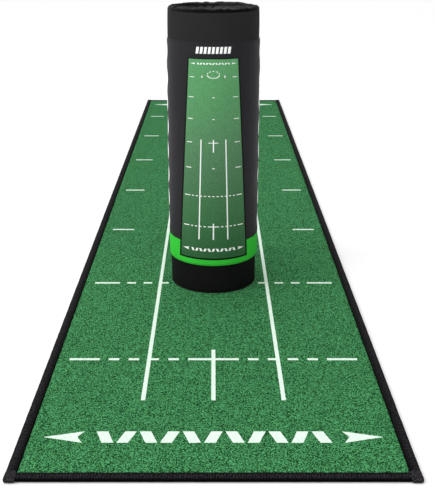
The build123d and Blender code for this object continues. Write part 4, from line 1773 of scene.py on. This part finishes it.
@dataclass
class Mouth:
    """The gathered top, the hem round the mouth, and the cord's exit binding and lock."""

    wardrobe: Wardrobe
    bag: Bag
    pleats: int = 13
    pleat_height: float = 6.0 * MM
    puff: float = 1.6 * MM
    steps_round: int = 324
    steps_in: int = 34
    shoulder: float = 6.0 * MM

    def __post_init__(self) -> None:
        """Read the mouth's places from the frame."""
        hem_low, hem_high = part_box("mouth_hem")
        self.hem_radius = (hem_high.x - hem_low.x) / 2 - 3.6 * MM
        self.hem_z = (hem_low.z + hem_high.z) / 2
        self.rim_z = self.bag.cuff_top + 1.2 * MM

    def pleat(self, angle: float, share: float) -> float:
        """Give a pleat's height, from 0 in a valley to 1 on a crest.

        Args:
            angle: The angle round the bag.
            share: 0 at the rim and 1 at the hem.

        Returns:
            The height's share.
        """
        drift = 0.22 * noise.noise(Vector((3 * math.cos(angle), 3 * math.sin(angle), 2 * share)))
        main = abs(math.sin(self.pleats * (angle + drift)))
        minor = abs(math.sin(2 * self.pleats * (angle + 0.6 * drift) + 1.3))
        uneven = 0.75 + 0.6 * noise.noise(Vector((5 * math.cos(angle), 5 * math.sin(angle), 9)))
        return (0.75 * main + 0.25 * minor) * uneven

    def gathered_top(self) -> None:
        """Gather the cuff's cloth from the rim to the hem, in pleats that deepen inwards."""
        rim = self.bag.rim_radius
        inner = self.hem_radius + 2.4 * MM

        def place(across: float, along: float) -> Vector:
            """Give a point of the gathered cloth."""
            angle = TURN * across - math.pi
            bend = min(1.0, along / 0.2)
            inward = (along - 0.2) / 0.8 if along > 0.2 else 0.0
            radius = rim - self.shoulder * (1 - math.cos(bend * math.pi / 2))
            radius += (inner - radius) * inward if along > 0.2 else 0.0
            z = self.rim_z + self.shoulder * math.sin(bend * math.pi / 2)
            z += (self.hem_z - z) * inward + self.puff * math.sin(math.pi * inward)
            depth = self.pleat_height * min(1.0, 0.4 + inward) * min(1.0, along / 0.16)
            crest = self.pleat(angle, inward)
            lean = 0.5 * depth / max(radius, 0.01) * (crest - 0.5)
            spot = Vector((60 * radius * math.cos(angle), 60 * radius * math.sin(angle), 4))
            crease = 0.5 * MM * noise.noise(spot)
            return self.bag.around(angle + lean, radius, z + depth * (crest - 0.55) + crease * bend)

        size = (TURN * rim, rim - inner + self.shoulder)
        cells = (self.steps_round, self.steps_in)
        top = laid_out("gathered_mouth", cells, place, size, None, closed_round=True)
        face_out(top, Vector((0, 1, 0)))
        finish_with(top, "SOLIDIFY", thickness=0.6 * MM, offset=-1)
        smooth(top, 60)
        # Dressed in the cuff's cloth painted darker, as painted shade on the folds.
        self.wardrobe.attach(top, SHADED_GATHER, self.bag.body, "cuff_fabric", ("gathered_top",))

    def hem(self) -> None:
        """Scrunch the hem that holds the drawcord."""

        def place(across: float, along: float) -> Vector:
            """Give a point of the hem."""
            angle = TURN * across - math.pi
            turn = TURN * along
            crest = self.pleat(angle, 1.0)
            wide = 3.5 * MM * (0.8 + 0.3 * crest)
            tall = 2.8 * MM * (0.75 + 0.4 * crest)
            radius = self.hem_radius + wide * math.cos(turn) + 0.5 * MM * (crest - 0.5)
            z = self.hem_z + tall * math.sin(turn) + 1.3 * MM * (crest - 0.5)
            return self.bag.around(angle + 0.05 * crest * math.sin(turn), radius, z)

        size = (TURN * self.hem_radius, 0.02)
        hem = laid_out("scrunched_hem", (self.steps_round, 16), place, size, None, closed_round=True)
        face_out(hem, None)
        smooth(hem, 60)
        # Dressed in the cuff's cloth painted darker, as painted shade on the hem.
        self.wardrobe.attach(hem, SHADED_GATHER, self.bag.body, "cuff_fabric", ("mouth_hem",))

    def build(self, nodes: dict[str, bpy.types.Object]) -> None:
        """Build the mouth and dress the cord's exit binding and its lock."""
        self.gathered_top()
        self.hem()
        for name, finish in (
            ("cord_exit_binding", SEAM_TAPE),
            ("cord_lock_body", PLASTIC),
            ("cord_lock_button", PLASTIC),
        ):
            self.wardrobe.dress(nodes[name], finish)


def main() -> None:
    """Build the studio, the mat and the bag round the frame."""
    logging.basicConfig(level=logging.INFO, format="%(name)s %(message)s")
    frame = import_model()
    nodes = frame["nodes"]
    wardrobe = Wardrobe()
    Studio().build(-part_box("right_edge_binding")[1].y + 2.4 * MM)
    Drawcord(wardrobe).build()
    Mat(wardrobe).build(nodes)
    bag = Bag(wardrobe)
    bag.build(nodes)
    Prints(wardrobe, bag).build()
    Mouth(wardrobe, bag).build(nodes)
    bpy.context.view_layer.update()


if __name__ == "__main__":
    main()
